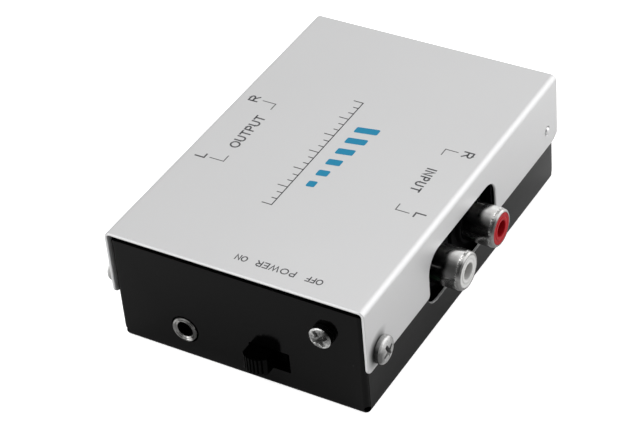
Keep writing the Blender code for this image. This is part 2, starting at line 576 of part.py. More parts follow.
def smooth_route(points, per_span):
    out = []
    for i in range(len(points) - 1):
        p0 = points[max(i - 1, 0)]
        p1, p2 = points[i], points[i + 1]
        p3 = points[min(i + 2, len(points) - 1)]
        for k in range(per_span):
            t = k / per_span
            out.append(0.5 * ((2 * p1) + (p2 - p0) * t + (2 * p0 - 5 * p1 + 4 * p2 - p3) * t * t
                              + (3 * p1 - p0 - 3 * p2 + p3) * t ** 3))
    out.append(points[-1])
    return out


path = smooth_route(route, 3)
curve = bpy.data.curves.new("ground_wire", "CURVE")
curve.dimensions = "3D"
curve.bevel_depth = 0.6 * MM
curve.bevel_resolution = 2
curve.use_fill_caps = True
spline = curve.splines.new("POLY")
spline.points.add(len(path) - 1)
for point, co in zip(spline.points, path):
    point.co = (*(co * MM), 1.0)
place(bpy.data.objects.new("ground_wire", curve), GREEN_WIRE)

# --------------------------------------------------------- board components
chip = box("preamp_chip", (-3.2, 3.2), (-4.7, 4.7), (BOARD_TOP + 0.9, BOARD_TOP + 4.2), BLACK_PLASTIC)
legs = []
for i in range(4):
    y = -3.81 + 2.54 * i
    for s in (-1, 1):
        legs.append((sorted((s * 3.0, s * 3.9)), (y - 0.35, y + 0.35), (BOARD_TOP + 2.2, BOARD_TOP + 2.55)))
combine(chip, boxes("chip_legs", legs), "UNION")
feet = []
for i in range(4):
    y = -3.81 + 2.54 * i
    for s in (-1, 1):
        feet.append((sorted((s * 3.65, s * 3.9)), (y - 0.25, y + 0.25), (BOARD_TOP + GAP, BOARD_TOP + 2.4)))
combine(chip, boxes("chip_feet", feet), "UNION")


def can_capacitor(name, x, y, r, h):
    low = BOARD_TOP + GAP
    turned(name, [(0, low + h - 0.15), (r - 0.55, low + h - 0.15), (r - 0.45, low + h), (r - 0.2, low + h),
                  (r, low + h - 0.3), (r, low + 1.6), (r - 0.25, low + 1.25), (r, low + 0.9),
                  (r, low), (0, low)],
           CAN_BLUE, at=(x, y, 0), steps=14)


can_capacitor("supply_capacitor", -9.0, -18.5, 4.0, 11.5)
can_capacitor("coupling_capacitor_left", -6.5, 21.5, 2.5, 8.0)
can_capacitor("coupling_capacitor_right", 6.5, 21.5, 2.5, 8.0)
for name, x in (("film_capacitor_left", -7.0), ("film_capacitor_right", 7.0)):
    box(name, (x - 3.6, x + 3.6), (27.5, 30.5), (BOARD_TOP + GAP, BOARD_TOP + 6.4), FILM_RED, bevel=0.4)

regulator = box("voltage_regulator", (-2.6, 2.6), (-24.6, -21.2), (BOARD_TOP + 3.2, BOARD_TOP + 8.0), BLACK_PLASTIC)
combine(regulator, boxes("regulator_legs", [((x - 0.25, x + 0.25), (-23.15, -22.65), (BOARD_TOP + GAP, BOARD_TOP + 3.6))
                                            for x in (-1.27, 0.0, 1.27)]), "UNION")


def axial(name, x, y, mat, r=1.1):
    """A wire-ended component lying along X, with its two legs turned down."""
    z = BOARD_TOP + r + 0.3
    obj = turned(name, [(0, 4.6), (0.3, 4.6), (0.3, 3.1), (r * 0.8, 3.0), (r, 2.6), (r, 1.6), (r * 0.85, 1.4),
                        (r * 0.85, -1.4), (r, -1.6), (r, -2.6), (r * 0.8, -3.0), (0.3, -3.1), (0.3, -4.6),
                        (0, -4.6)],
                 mat, at=(x, y, z), turn=TO_RIGHT, steps=8)
    combine(obj, boxes(name + "_legs", [((x + s * 4.35 - 0.24, x + s * 4.35 + 0.24), (y - 0.24, y + 0.24),
                                         (BOARD_TOP + GAP, z + 0.1)) for s in (-1, 1)]), "UNION")


axial("resistor_1", 0.0, 9.5, BEIGE)
axial("resistor_2", 0.0, 13.0, BEIGE)
axial("resistor_3", 0.0, -9.5, BEIGE)
axial("resistor_4", 0.0, -13.0, BEIGE)
axial("protection_diode", 8.0, -23.0, BLACK_PLASTIC, r=1.25)
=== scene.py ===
"""Looks of the stereo preamp box: finer pieces, materials, legends, stage, lights and camera.
Everything is in the row frame. Lengths below are millimetres unless a name says otherwise."""

import math

import bmesh
import bpy
import numpy as np
from mathutils import Matrix, Vector


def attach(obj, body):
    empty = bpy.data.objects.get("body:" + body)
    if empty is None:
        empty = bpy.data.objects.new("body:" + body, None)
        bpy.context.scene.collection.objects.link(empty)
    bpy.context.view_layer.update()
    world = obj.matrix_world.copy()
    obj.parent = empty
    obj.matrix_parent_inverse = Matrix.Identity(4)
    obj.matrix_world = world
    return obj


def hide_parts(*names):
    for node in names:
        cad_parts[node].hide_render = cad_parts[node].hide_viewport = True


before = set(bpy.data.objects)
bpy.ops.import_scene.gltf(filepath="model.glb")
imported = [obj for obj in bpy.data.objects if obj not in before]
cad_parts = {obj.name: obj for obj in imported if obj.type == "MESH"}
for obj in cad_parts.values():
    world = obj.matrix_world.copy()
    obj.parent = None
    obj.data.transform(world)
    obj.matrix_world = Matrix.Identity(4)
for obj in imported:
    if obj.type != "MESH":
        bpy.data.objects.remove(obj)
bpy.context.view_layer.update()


MM = 0.001
BOX = "preamp_box"

# ------------------------------------------------------------ shared sizes
WIDTH, DEPTH, HEIGHT = 56.8, 82.0, 25.9
COVER_SHEET, COVER_BEND = 0.65, 1.3
FLANGE_LOW, FLANGE_CORNER, FLANGE_CLIP = 10.6, 1.5, (1.75, 0.9)
TRAY_SHEET, TRAY_BEND, TRAY_EDGE = 0.8, 1.2, 1.0
TRAY_SIDE_X, TRAY_FRONT_Y = 27.6, 40.55
TRAY_FRONT_TOP, TRAY_REAR_TOP, TRAY_TOP_R, TRAY_SIDE_TOP = 24.05, 24.62, 0.8, 24.7
SEAM, SEAM_LOW, RELIEF_R = 0.1, 1.35, 0.7
CUT_Y, CUT_TOP, CUT_CORNER, CUT_LIP = (-16.2, 12.3), 19.9, 4.2, 1.0
WINDOW_Y, WINDOW_Z, WINDOW_CORNER = (-16.2, 11.5), (6.9, 20.9), 4.2
SOCKETS = {"left": -8.6, "right": 5.8}
SOCKET_Z = 12.85
SHELL_END, SHELL_R, SHELL_BORE, SHELL_ROOT = 32.75, 4.1, 3.4, 16.5
BLOCK_BACK, BLOCK_FACE, COLLAR_FACE, COLLAR_R = 12.5, 25.0, 26.0, 4.9
SIDE_SCREWS, SIDE_HEAD_R = {"right": (-35.9, 13.55), "left": (-37.6, 14.5)}, 2.85
PIN_Y, PIN_Z, PIN_R = 36.15, 14.95, 0.85
BOARD_TOP = 3.6
JACK_X, JACK_Z, JACK_R, JACK_BORE, JACK_HOLE, JACK_END = -12.52, 6.8, 2.78, 1.72, 3.08, 40.95
SLOT_X, SLOT_Z = (2.05, 11.0), (4.35, 9.1)
KNOB_W, KNOB_H, KNOB_X, KNOB_Z, KNOB_END = 5.3, 3.8, 4.85, 6.6, 44.3
KNOB_RISE, KNOB_ROUND = 2.05, 3.55
GROUND_X, GROUND_Z, GROUND_HEAD_R, GROUND_SHANK_R = 19.13, 17.4, 2.36, 1.2
LEGEND_X = 0.33
GAP = 0.05
half = WIDTH / 2


# --------------------------------------------------------------- materials
class Paint:
    """Small builder for a Principled material whose colour, roughness and bump come from nodes."""

    def __init__(self, name, metallic=0.0, specular=0.5):
        self.mat = bpy.data.materials.new(name)
        self.mat.use_nodes = True
        self.tree = self.mat.node_tree
        self.shader = self.tree.nodes["Principled BSDF"]
        self.shader.inputs["Metallic"].default_value = metallic
        self.shader.inputs["Specular IOR Level"].default_value = specular
        self.coords = self.tree.nodes.new("ShaderNodeTexCoord").outputs["Object"]

    def node(self, kind, **inputs):
        made = self.tree.nodes.new(kind)
        for key, value in inputs.items():
            if hasattr(made, key):
                setattr(made, key, value)
            else:
                self.link(value, made.inputs[key.replace("_", " ")])
        return made

    def link(self, value, socket):
        if isinstance(value, bpy.types.NodeSocket):
            self.tree.links.new(value, socket)
        else:
            socket.default_value = value

    def stretched(self, scale, turn=(0.0, 0.0, 0.0)):
        made = self.tree.nodes.new("ShaderNodeMapping")
        made.inputs["Scale"].default_value = scale
        made.inputs["Rotation"].default_value = turn
        self.tree.links.new(self.coords, made.inputs["Vector"])
        return made.outputs["Vector"]

    def noise(self, size_mm, detail=3.0, rough=0.5, vector=None, distortion=0.0):
        made = self.tree.nodes.new("ShaderNodeTexNoise")
        made.inputs["Scale"].default_value = 1000.0 / size_mm
        made.inputs["Detail"].default_value = detail
        made.inputs["Roughness"].default_value = rough
        made.inputs["Distortion"].default_value = distortion
        self.tree.links.new(vector if vector is not None else self.coords, made.inputs["Vector"])
        return made.outputs["Fac"]

    def spots(self, size_mm):
        made = self.tree.nodes.new("ShaderNodeTexVoronoi")
        made.inputs["Scale"].default_value = 1000.0 / size_mm
        self.tree.links.new(self.coords, made.inputs["Vector"])
        return made.outputs["Distance"]

    def span(self, value, low, high, start=0.3, end=0.7):
        made = self.tree.nodes.new("ShaderNodeMapRange")
        made.inputs["From Min"].default_value = start
        made.inputs["From Max"].default_value = end
        made.inputs["To Min"].default_value = low
        made.inputs["To Max"].default_value = high
        self.tree.links.new(value, made.inputs["Value"])
        return made.outputs["Result"]

    def math(self, operation, a, b=0.0):
        made = self.tree.nodes.new("ShaderNodeMath")
        made.operation = operation
        self.link(a, made.inputs[0])
        self.link(b, made.inputs[1])
        return made.outputs[0]

    def mix(self, factor, a, b):
        made = self.tree.nodes.new("ShaderNodeMix")
        made.data_type = "RGBA"
        self.link(factor, made.inputs["Factor"])
        for value, index in ((a, 6), (b, 7)):
            if isinstance(value, tuple):
                value = (*value[:3], 1.0)
            self.link(value, made.inputs[index])
        return made.outputs[2]

    def ramp(self, value, stops):
        """Grey levels at places from 0 to 1, eased in between."""
        made = self.tree.nodes.new("ShaderNodeValToRGB")
        made.color_ramp.interpolation = "EASE"
        marks = made.color_ramp.elements
        while len(marks) < len(stops):
            marks.new(0.5)
        for mark, (place, level) in zip(marks, stops):
            mark.position = place
        for mark, (place, level) in zip(marks, stops):
            mark.color = (level, level, level, 1.0)
        self.link(value, made.inputs["Fac"])
        return made.outputs["Color"]

    def axes(self):
        made = self.tree.nodes.new("ShaderNodeSeparateXYZ")
        self.tree.links.new(self.coords, made.inputs[0])
        return [self.math("DIVIDE", out, MM) for out in made.outputs]

    def colour(self, value):
        self.link(value, self.shader.inputs["Base Color"])

    def roughness(self, value):
        self.link(value, self.shader.inputs["Roughness"])

    def bump(self, height, strength, depth_mm):
        made = self.tree.nodes.new("ShaderNodeBump")
        made.inputs["Strength"].default_value = strength
        made.inputs["Distance"].default_value = depth_mm * MM
        self.tree.links.new(height, made.inputs["Height"])
        self.tree.links.new(made.outputs["Normal"], self.shader.inputs["Normal"])


def satin_silver():
    p = Paint("cover_satin_silver", metallic=0.55, specular=0.45)
    grain = p.noise(0.16, 4.0, 0.65)
    cloud = p.noise(26.0, 3.0, 0.5)
    tone = p.math("ADD", p.math("MULTIPLY", p.span(grain, 0.0, 1.0), 0.55), p.math("MULTIPLY", cloud, 0.45))
    x, y, z = p.axes()
    # Paler end faces: bare sheared metal, and a painted highlight for the light that falls on them from the front.
    sheared_and_lit_ends = p.math("GREATER_THAN", p.math("ABSOLUTE", y), DEPTH / 2 - 0.06)
    silver = p.mix(tone, (0.640, 0.640, 0.643), (0.690, 0.690, 0.692))
    # Painted shadow: the right flange is darkened to near black beside the right screw head, on its front and upper
    # side, fading out over about 2 mm.
    screw_y, screw_z = SIDE_SCREWS["right"]
    a, b = p.math("SUBTRACT", y, screw_y), p.math("SUBTRACT", z, screw_z)
    far = p.math("SQRT", p.math("ADD", p.math("MULTIPLY", a, a), p.math("MULTIPLY", b, b)))
    lean = p.math("DIVIDE", p.math("ADD", p.math("MULTIPLY", a, -0.81), p.math("MULTIPLY", b, 0.586)), far)
    near = p.span(far, 1.0, 0.0, SIDE_HEAD_R + 0.1, SIDE_HEAD_R + 2.2)
    screw_shadow = p.math("MULTIPLY", p.math("MULTIPLY", near, p.math("GREATER_THAN", x, half - 0.7)),
                   p.span(lean, 0.0, 0.92, -0.05, 0.6))
    silver = p.mix(screw_shadow, silver, (0.012, 0.012, 0.012))
    p.colour(p.mix(sheared_and_lit_ends, silver, (0.93, 0.93, 0.93)))
    p.roughness(p.span(grain, 0.36, 0.46))
    p.bump(grain, 0.10, 0.02)
    return p.mat


def black_paint():
    p = Paint("tray_black_paint", specular=0.130)
    peel = p.noise(0.9, 2.0, 0.5)
    fine = p.noise(0.12, 2.0, 0.6)
    cloud = p.noise(14.0, 3.0, 0.6)
    dust = p.math("LESS_THAN", p.spots(2.6), 0.035)
    scattered = p.math("MULTIPLY", dust, p.math("GREATER_THAN", p.noise(9.0, 1.0), 0.56))
    base = p.mix(cloud, (0.0004, 0.0004, 0.0004), (0.0009, 0.0009, 0.0009))
    x, y, z = p.axes()
    across = p.math("GREATER_THAN", p.math("ABSOLUTE", x), TRAY_SIDE_X - 0.42)
    a, b = [p.math("MAXIMUM", p.math("SUBTRACT", p.math("ABSOLUTE", p.math("SUBTRACT", value, sum(span) / 2)),
                                     (span[1] - span[0]) / 2 - WINDOW_CORNER), 0.0)
            for value, span in ((y, WINDOW_Y), (z, WINDOW_Z))]
    rim = p.math("SQRT", p.math("ADD", p.math("MULTIPLY", a, a), p.math("MULTIPLY", b, b)))
    rim = p.math("LESS_THAN", p.math("ABSOLUTE", p.math("SUBTRACT", rim, WINDOW_CORNER)), 0.12)
    bare = p.math("MULTIPLY", p.math("MULTIPLY", across, rim), p.span(z, 1.0, 0.0, WINDOW_Z[0] + 0.9, WINDOW_Z[0] + 2.4))
    worn_and_lit = p.math("MULTIPLY", bare, p.span(p.noise(0.5, 3.0, 0.6), 0.7, 1.0))
    p.colour(p.mix(worn_and_lit, p.mix(scattered, base, (0.06, 0.06, 0.06)), (0.62, 0.62, 0.62)))
    p.roughness(p.math("ADD", p.span(cloud, 0.10, 0.14), p.math("MULTIPLY", scattered, 0.3)))
    p.bump(p.math("ADD", peel, p.math("MULTIPLY", fine, 0.12)), 0.05, 0.03)
    return p.mat


def plated(name, light, dark, rough, streak=(1.0, 1.0, 1.0), scratch=0.05, size=0.35):
    """Bright plated metal: faint drawn streaks, small stains in the gloss and fine pits."""
    p = Paint(name, metallic=1.0)
    lines = p.noise(size, 3.0, 0.6, vector=p.stretched(streak))
    stain = p.noise(1.7, 4.0, 0.6)
    pits = p.math("LESS_THAN", p.spots(0.5), 0.10)
    p.colour(p.mix(p.math("ADD", p.math("MULTIPLY", stain, 0.7), p.math("MULTIPLY", lines, 0.3)), dark, light))
    p.roughness(p.math("ADD", p.span(stain, rough[0], rough[1]), p.math("MULTIPLY", pits, 0.06)))
    p.bump(lines, scratch, 0.01)
    return p.mat


def screw_plate(name, rough, centre, face, level, rise, radius, crown, deep, grit=0.30, edge=0.6):
    """Plating on a pan head, with painted reflections across its face, painted shade in the driver recess and on the
    flank under the rim, and a painted highlight round the rim of the recess.
    centre is the screw's axis, face the axis it looks along (0 for X, 1 for Y), level and rise its dome.
    crown and deep give the tone from a and b, the place across the head in radii."""
    p = Paint(name, metallic=1.0)
    axes = p.axes()
    a, b = [p.math("DIVIDE", p.math("SUBTRACT", axes[k], c), radius)
            for k, c in zip([k for k in range(3) if k != face], centre)]
    spread = p.math("ADD", p.math("MULTIPLY", a, a), p.math("MULTIPLY", b, b))
    dome = p.math("MAXIMUM", p.math("SUBTRACT", 1.0, spread), 0.0)
    skin = p.math("ADD", p.math("MULTIPLY", p.math("POWER", dome, 0.42), rise), level - 0.07)
    # The recess and the flank below the dome's skin take the painted shade given by deep.
    sunk = p.math("LESS_THAN", p.math("ABSOLUTE", axes[face]), skin)
    stain = p.noise(1.3, 4.0, 0.6)
    streaks = p.noise(0.42, 3.0, 0.6)
    # Painted highlight: a band round the rolled rim of the recess takes the edge tone.
    rolled = p.math("MULTIPLY", p.math("LESS_THAN", p.math("ABSOLUTE", axes[face]), p.math("ADD", skin, 0.06)),
                    p.math("LESS_THAN", spread, 0.86))
    tone = p.mix(rolled, crown(p, a, b), (edge, edge, edge))
    tone = p.mix(sunk, tone, deep(p, a, b, spread))
    tone = p.math("MULTIPLY", tone, p.span(p.math("ADD", p.math("MULTIPLY", stain, 0.4),
                                                  p.math("MULTIPLY", streaks, 0.6)), 1.0 - grit, 1.0 + grit, 0.38, 0.62))
    p.colour(p.mix(p.math("MINIMUM", p.math("MAXIMUM", tone, 0.01), 1.0), (0.0, 0.0, 0.0), (0.97, 0.97, 0.96)))
    p.roughness(p.math("ADD", p.span(stain, rough[0], rough[1]), p.math("MULTIPLY", sunk, 0.12)))
    p.bump(streaks, 0.08, 0.012)
    return p.mat


def ground_crown(p, a, b):
    """Painted reflection: bright to the upper left and the lower right, darker towards the upper right, with a painted
    highlight round the rim at the upper left.
    """
    u = p.math("MAXIMUM", p.math("MULTIPLY", p.math("ADD", a, b), 0.7071), 0.0)
    w = p.math("MULTIPLY", p.math("SUBTRACT", a, b), 0.7071)
    tone = p.math("ADD", p.math("MULTIPLY", p.math("MULTIPLY", w, w), 0.48), 0.36)
    edge = p.span(p.math("ADD", p.math("MULTIPLY", a, a), p.math("MULTIPLY", b, b)), 0.0, 0.20, 0.76, 0.90)
    tone = p.math("ADD", tone, p.math("MULTIPLY", edge, p.math("LESS_THAN", w, -0.25)))
    return p.math("SUBTRACT", tone, p.math("MULTIPLY", u, 0.34))


def ground_deep(p, a, b, spread):
    # Painted shade: near black on the flank under the rim, dark grey in the recess.
    inside = p.math("LESS_THAN", spread, 0.97)
    return p.mix(inside, (0.03, 0.03, 0.03), (0.20, 0.20, 0.20))


def cover_crown(p, a, b):
    """Painted reflection: darker along the left edge of the face, less so near its top and foot, and a little darker
    towards the right edge.
    """
    left = p.span(a, 0.0, 0.42, -0.35, -0.8)
    tall = p.span(p.math("ABSOLUTE", b), 1.0, 0.0, 0.35, 0.75)
    right = p.span(a, 0.0, 0.22, 0.35, 0.9)
    tone = p.math("SUBTRACT", 0.58, p.math("MULTIPLY", left, tall))
    return p.math("SUBTRACT", tone, right)


def bright_crown(p, a, b):
    """Painted highlight: evenly bright, a little more so towards the top."""
    return p.span(b, 0.84, 0.97, -0.8, 0.8)


def cover_deep(p, a, b, spread):
    # Painted shade: grey in the recess; on the flank under the rim near black at the sides, paler towards the top and
    # foot.
    inside = p.math("LESS_THAN", spread, 0.97)
    ends = p.span(p.math("ABSOLUTE", b), 0.055, 0.42, 0.5, 0.9)
    return p.mix(inside, ends, (0.23, 0.23, 0.23))


def ferrule_nickel():
    """Nickel on the jack's collar with painted reflections: darker to the right, lighter to the left, and two painted
    highlights at the lower right and the upper left.
    """
    p = Paint("ferrule_nickel", metallic=1.0)
    x, y, z = p.axes()
    a = p.math("DIVIDE", p.math("SUBTRACT", x, JACK_X), JACK_R)
    b = p.math("DIVIDE", p.math("SUBTRACT", z, JACK_Z), JACK_R)
    reach = p.math("SQRT", p.math("ADD", p.math("MULTIPLY", a, a), p.math("MULTIPLY", b, b)))
    tone = p.math("ADD", p.math("MULTIPLY", p.math("MAXIMUM", p.math("MULTIPLY", a, -1.0), 0.0), 0.26), 0.13)
    for way, amount in (((0.42, -0.90), 0.75), ((-0.74, 0.67), 0.35)):
        along = p.math("DIVIDE", p.math("ADD", p.math("MULTIPLY", a, way[0]), p.math("MULTIPLY", b, way[1])), reach)
        tone = p.math("ADD", tone, p.span(along, 0.0, amount, 0.92, 0.995))
    stain = p.noise(0.9, 4.0, 0.6)
    fine = p.noise(0.3, 3.0, 0.6)
    tone = p.math("MULTIPLY", tone, p.span(stain, 0.75, 1.25))
    p.colour(p.mix(p.math("MINIMUM", tone, 1.0), (0.0, 0.0, 0.0), (0.97, 0.96, 0.94)))
    p.roughness(p.span(stain, 0.10, 0.18))
    p.bump(fine, 0.06, 0.01)
    return p.mat


def bright_deep(p, a, b, spread):
    # Painted shade in the recess only, grey; the flank under the rim stays light.
    inside = p.math("LESS_THAN", spread, 0.97)
    return p.mix(inside, (0.62, 0.62, 0.62), (0.23, 0.23, 0.23))


def knob_plastic():
    """Black moulding, shiny nowhere; the fronts of the ribs are painted lighter as lit, and the top and the rest are
    painted near black as shade.
    """
    p = Paint("switch_knob_plastic", specular=0.012)
    fine = p.noise(0.25, 3.0, 0.6)
    x, y, z = p.axes()
    a = p.math("SUBTRACT", x, KNOB_X)
    b = p.math("ADD", y, KNOB_END - KNOB_ROUND)
    reach = p.math("SQRT", p.math("ADD", p.math("MULTIPLY", a, a), p.math("MULTIPLY", b, b)))
    # Painted light on the fronts of the ribs; painted shade, near black, on the top and everywhere else.
    lit_rib_fronts = p.math("MULTIPLY", p.math("GREATER_THAN", reach, KNOB_ROUND - 0.13),
                   p.math("MULTIPLY", p.math("LESS_THAN", z, KNOB_Z + KNOB_RISE - 0.08), p.math("LESS_THAN", y, -41.5)))
    worn_and_lit = p.mix(p.span(fine, 0.0, 1.0), (0.0040, 0.0040, 0.0041), (0.0085, 0.0085, 0.0086))
    dark = p.mix(fine, (0.0001, 0.0001, 0.0001), (0.0003, 0.0003, 0.0003))
    p.colour(p.mix(lit_rib_fronts, dark, worn_and_lit))
    p.roughness(p.span(fine, 0.34, 0.42))
    p.bump(fine, 0.12, 0.02)
    return p.mat


def shell_nickel(name, centre_y):
    """Nickel on a socket shell with painted reflections: light and dark bands round it by which way its surface faces,
    and another set of bands on the lip.
    """
    p = Paint(name, metallic=1.0)
    x, y, z = p.axes()
    # Which way the surface faces across the shell; the bands of painted reflection follow it.
    turned = p.math("ADD", p.math("MULTIPLY", p.math("SUBTRACT", y, centre_y), 0.68 / SHELL_R),
                    p.math("MULTIPLY", p.math("SUBTRACT", z, SOCKET_Z), 0.73 / SHELL_R))
    tone = p.ramp(p.math("ADD", p.math("MULTIPLY", turned, 0.5), 0.5),
                  [(0.06, 0.40), (0.15, 0.95), (0.24, 0.15), (0.50, 0.12), (0.60, 0.22), (0.72, 0.44), (0.84, 0.70), (0.95, 0.97)])
    lip = p.math("GREATER_THAN", p.math("ABSOLUTE", x), SHELL_END - 0.95)
    tone = p.mix(lip, tone, p.ramp(p.math("ADD", p.math("MULTIPLY", turned, 0.5), 0.5),
                                   [(0.05, 0.34), (0.22, 0.30), (0.36, 0.13), (0.60, 0.15), (0.76, 0.38), (1.0, 0.60)]))
    stain = p.noise(1.1, 4.0, 0.6)
    fine = p.noise(0.28, 3.0, 0.7)
    crease = p.math("LESS_THAN", p.math("ABSOLUTE", p.math("SUBTRACT", p.math("ABSOLUTE", x), SHELL_END - 0.88)), 0.20)
    spots = p.math("MULTIPLY", crease, p.span(fine, -0.9, 1.4, 0.35, 0.65))
    shade = p.math("MULTIPLY", tone, p.math("ADD", p.span(stain, 0.88, 1.12), spots))
    mixed = p.mix(p.math("MINIMUM", p.math("MAXIMUM", shade, 0.03), 1.0), (0.0, 0.0, 0.0), (0.97, 0.965, 0.95))
    p.colour(mixed)
    p.roughness(p.math("ADD", p.span(stain, 0.14, 0.22), p.math("MULTIPLY", p.math("ABSOLUTE", spots), 0.1)))
    p.bump(fine, 0.08, 0.012)
    return p.mat


def moulded(name, dark, light, rough, specular=0.4, texture=0.25, depth=0.02, strength=0.12):
    """Moulded plastic: fine spark-eroded texture with slow flow marks."""
    p = Paint(name, specular=specular)
    fine = p.noise(texture, 3.0, 0.6)
    flow = p.noise(5.0, 3.0, 0.55, distortion=0.6)
    p.colour(p.mix(flow, dark, light))
    p.roughness(p.span(p.math("ADD", p.math("MULTIPLY", fine, 0.5), p.math("MULTIPLY", flow, 0.5)), rough[0], rough[1]))
    p.bump(fine, strength, depth)
    return p.mat


def insulator(name, dark, light, centre_y, specular):
    """Moulded insulator of a socket, with painted shade: darker in the bore, in the groove and at the outer edge,
    leaving a paler ring round the bore.
    """
    p = Paint(name, specular=specular)
    x, y, z = p.axes()
    a, b = p.math("SUBTRACT", y, centre_y), p.math("SUBTRACT", z, SOCKET_Z)
    reach = p.math("SQRT", p.math("ADD", p.math("MULTIPLY", a, a), p.math("MULTIPLY", b, b)))
    shade = p.ramp(p.math("DIVIDE", reach, SHELL_BORE),
                   [(0.44, 0.50), (0.53, 0.72), (0.58, 1.0), (0.68, 0.95), (0.73, 0.72), (0.80, 0.92), (0.90, 1.0), (0.985, 0.66)])
    fine = p.noise(0.25, 3.0, 0.6)
    flow = p.noise(1.4, 3.0, 0.55, distortion=0.6)
    body = p.mix(p.span(flow, 0.0, 1.0, 0.35, 0.65), dark, light)
    p.colour(p.mix(shade, tuple(v * 0.35 for v in dark), body))
    p.roughness(p.span(p.math("ADD", p.math("MULTIPLY", fine, 0.5), p.math("MULTIPLY", flow, 0.5)), 0.26, 0.36))
    p.bump(fine, 0.05, 0.02)
    return p.mat


def board_green():
    """Solder resist over tracks, with a faint weave of the laminate under it."""
    p = Paint("board_solder_resist", specular=0.5)
    weave = p.tree.nodes.new("ShaderNodeTexBrick")
    weave.inputs["Scale"].default_value = 900.0
    weave.inputs["Mortar Size"].default_value = 0.12
    weave.inputs["Color1"].default_value = (1, 1, 1, 1)
    weave.inputs["Color2"].default_value = (0.7, 0.7, 0.7, 1)
    weave.inputs["Mortar"].default_value = (0.3, 0.3, 0.3, 1)
    p.tree.links.new(p.coords, weave.inputs["Vector"])
    tracks = p.tree.nodes.new("ShaderNodeTexVoronoi")
    tracks.distance = "MANHATTAN"
    tracks.feature = "DISTANCE_TO_EDGE"
    tracks.inputs["Scale"].default_value = 260.0
    p.tree.links.new(p.coords, tracks.inputs["Vector"])
    line = p.math("LESS_THAN", tracks.outputs["Distance"], 0.09)
    base = p.mix(line, (0.012, 0.10, 0.035), (0.03, 0.20, 0.07))
    p.colour(p.mix(p.math("MULTIPLY", weave.outputs["Fac"], 0.25), base, (0.01, 0.06, 0.02)))
    p.roughness(p.span(p.noise(2.0), 0.25, 0.4))
    p.bump(p.math("ADD", line, p.math("MULTIPLY", weave.outputs["Color"], 0.2)), 0.3, 0.03)
    return p.mat


def banded(name, base_dark, base_light, bands, along, rough, period_mm):
    """A coloured body with painted rings along one axis, as on a resistor or a sleeve."""
    p = Paint(name, specular=0.5)
    fine = p.noise(0.3, 3.0, 0.6)
    base = p.mix(fine, base_dark, base_light)
    split = p.tree.nodes.new("ShaderNodeSeparateXYZ")
    p.tree.links.new(p.coords, split.inputs[0])
    step = p.math("FRACT", p.math("DIVIDE", split.outputs[along], period_mm * MM))
    ring = p.math("LESS_THAN", step, 0.28)
    p.colour(p.mix(ring, base, bands))
    p.roughness(p.span(fine, rough[0], rough[1]))
    p.bump(fine, 0.1, 0.02)
    return p.mat


def legend_ink(name, dark, light):
    """Screen-printed ink: a slightly uneven film."""
    p = Paint(name, specular=0.3)
    fine = p.noise(0.18, 4.0, 0.7)
    p.colour(p.mix(fine, dark, light))
    p.roughness(p.span(fine, 0.42, 0.6))
    p.bump(fine, 0.15, 0.01)
    return p.mat


SILVER = satin_silver()
BLACK = black_paint()
# The left head takes lighter painted tones than the right one.
SCREWS = {side: screw_plate("cover_screw_plate_" + side, (0.36, 0.46), SIDE_SCREWS[side], 0, half + 0.95, 0.80,
                            SIDE_HEAD_R, cover_crown if side == "right" else bright_crown,
                            cover_deep if side == "right" else bright_deep,
                            grit=0.18 if side == "right" else 0.06, edge=0.55 if side == "right" else 0.9) for side in ("right", "left")}
PIN = plated("pin_satin_metal", (0.74, 0.74, 0.74), (0.64, 0.64, 0.64), (0.28, 0.36))
CHROME = screw_plate("ground_screw_chrome", (0.10, 0.18), (GROUND_X, GROUND_Z), 1, TRAY_FRONT_Y + 0.35 + 0.95, 0.55,
                     GROUND_HEAD_R, ground_crown, ground_deep, grit=0.60, edge=0.95)
SHELLS = {channel: shell_nickel("socket_shell_nickel_" + channel, y) for channel, y in SOCKETS.items()}
FERRULE = ferrule_nickel()
ZINC = plated("zinc_plate", (0.62, 0.63, 0.65), (0.50, 0.50, 0.51), (0.24, 0.4), size=0.8)
DARK_PLATE = plated("blackened_steel", (0.006, 0.006, 0.006), (0.003, 0.003, 0.003), (0.45, 0.55), size=0.6)
BRASS = plated("contact_brass", (0.78, 0.60, 0.28), (0.62, 0.45, 0.18), (0.2, 0.34))
BLOCK = moulded("socket_block_plastic", (0.0022, 0.0022, 0.0024), (0.0040, 0.0040, 0.0043), (0.50, 0.62), specular=0.03)
KNOB = knob_plastic()
WHITE = insulator("insulator_white_plastic", (0.64, 0.64, 0.625), (0.73, 0.73, 0.72), SOCKETS["left"], 0.10)
RED = insulator("insulator_red_plastic", (0.37, 0.005, 0.010), (0.50, 0.008, 0.015), SOCKETS["right"], 0.07)
FILM = moulded("insulating_film", (0.50, 0.45, 0.26), (0.58, 0.52, 0.32), (0.3, 0.5), specular=0.5)
CHIP = moulded("component_epoxy", (0.010, 0.010, 0.011), (0.020, 0.020, 0.021), (0.45, 0.6), texture=0.15)
CAN = banded("capacitor_sleeve", (0.012, 0.018, 0.09), (0.02, 0.03, 0.13), (0.45, 0.46, 0.5), 0, (0.25, 0.35), 7.0)
DIPPED = moulded("film_capacitor_resin", (0.38, 0.05, 0.03), (0.48, 0.08, 0.045), (0.2, 0.35), specular=0.5, texture=0.8)
BEIGE = banded("resistor_lacquer", (0.52, 0.40, 0.25), (0.60, 0.48, 0.32), (0.30, 0.10, 0.05), 0, (0.3, 0.45), 1.25)
WIRE = moulded("wire_green_insulation", (0.02, 0.24, 0.05), (0.03, 0.32, 0.08), (0.35, 0.5), specular=0.5)
GREEN_BOARD = board_green()
GREY_INK = legend_ink("legend_grey_ink", (0.060, 0.060, 0.063), (0.082, 0.082, 0.086))
DARK_INK = legend_ink("legend_dark_ink", (0.020, 0.020, 0.022), (0.034, 0.034, 0.036))
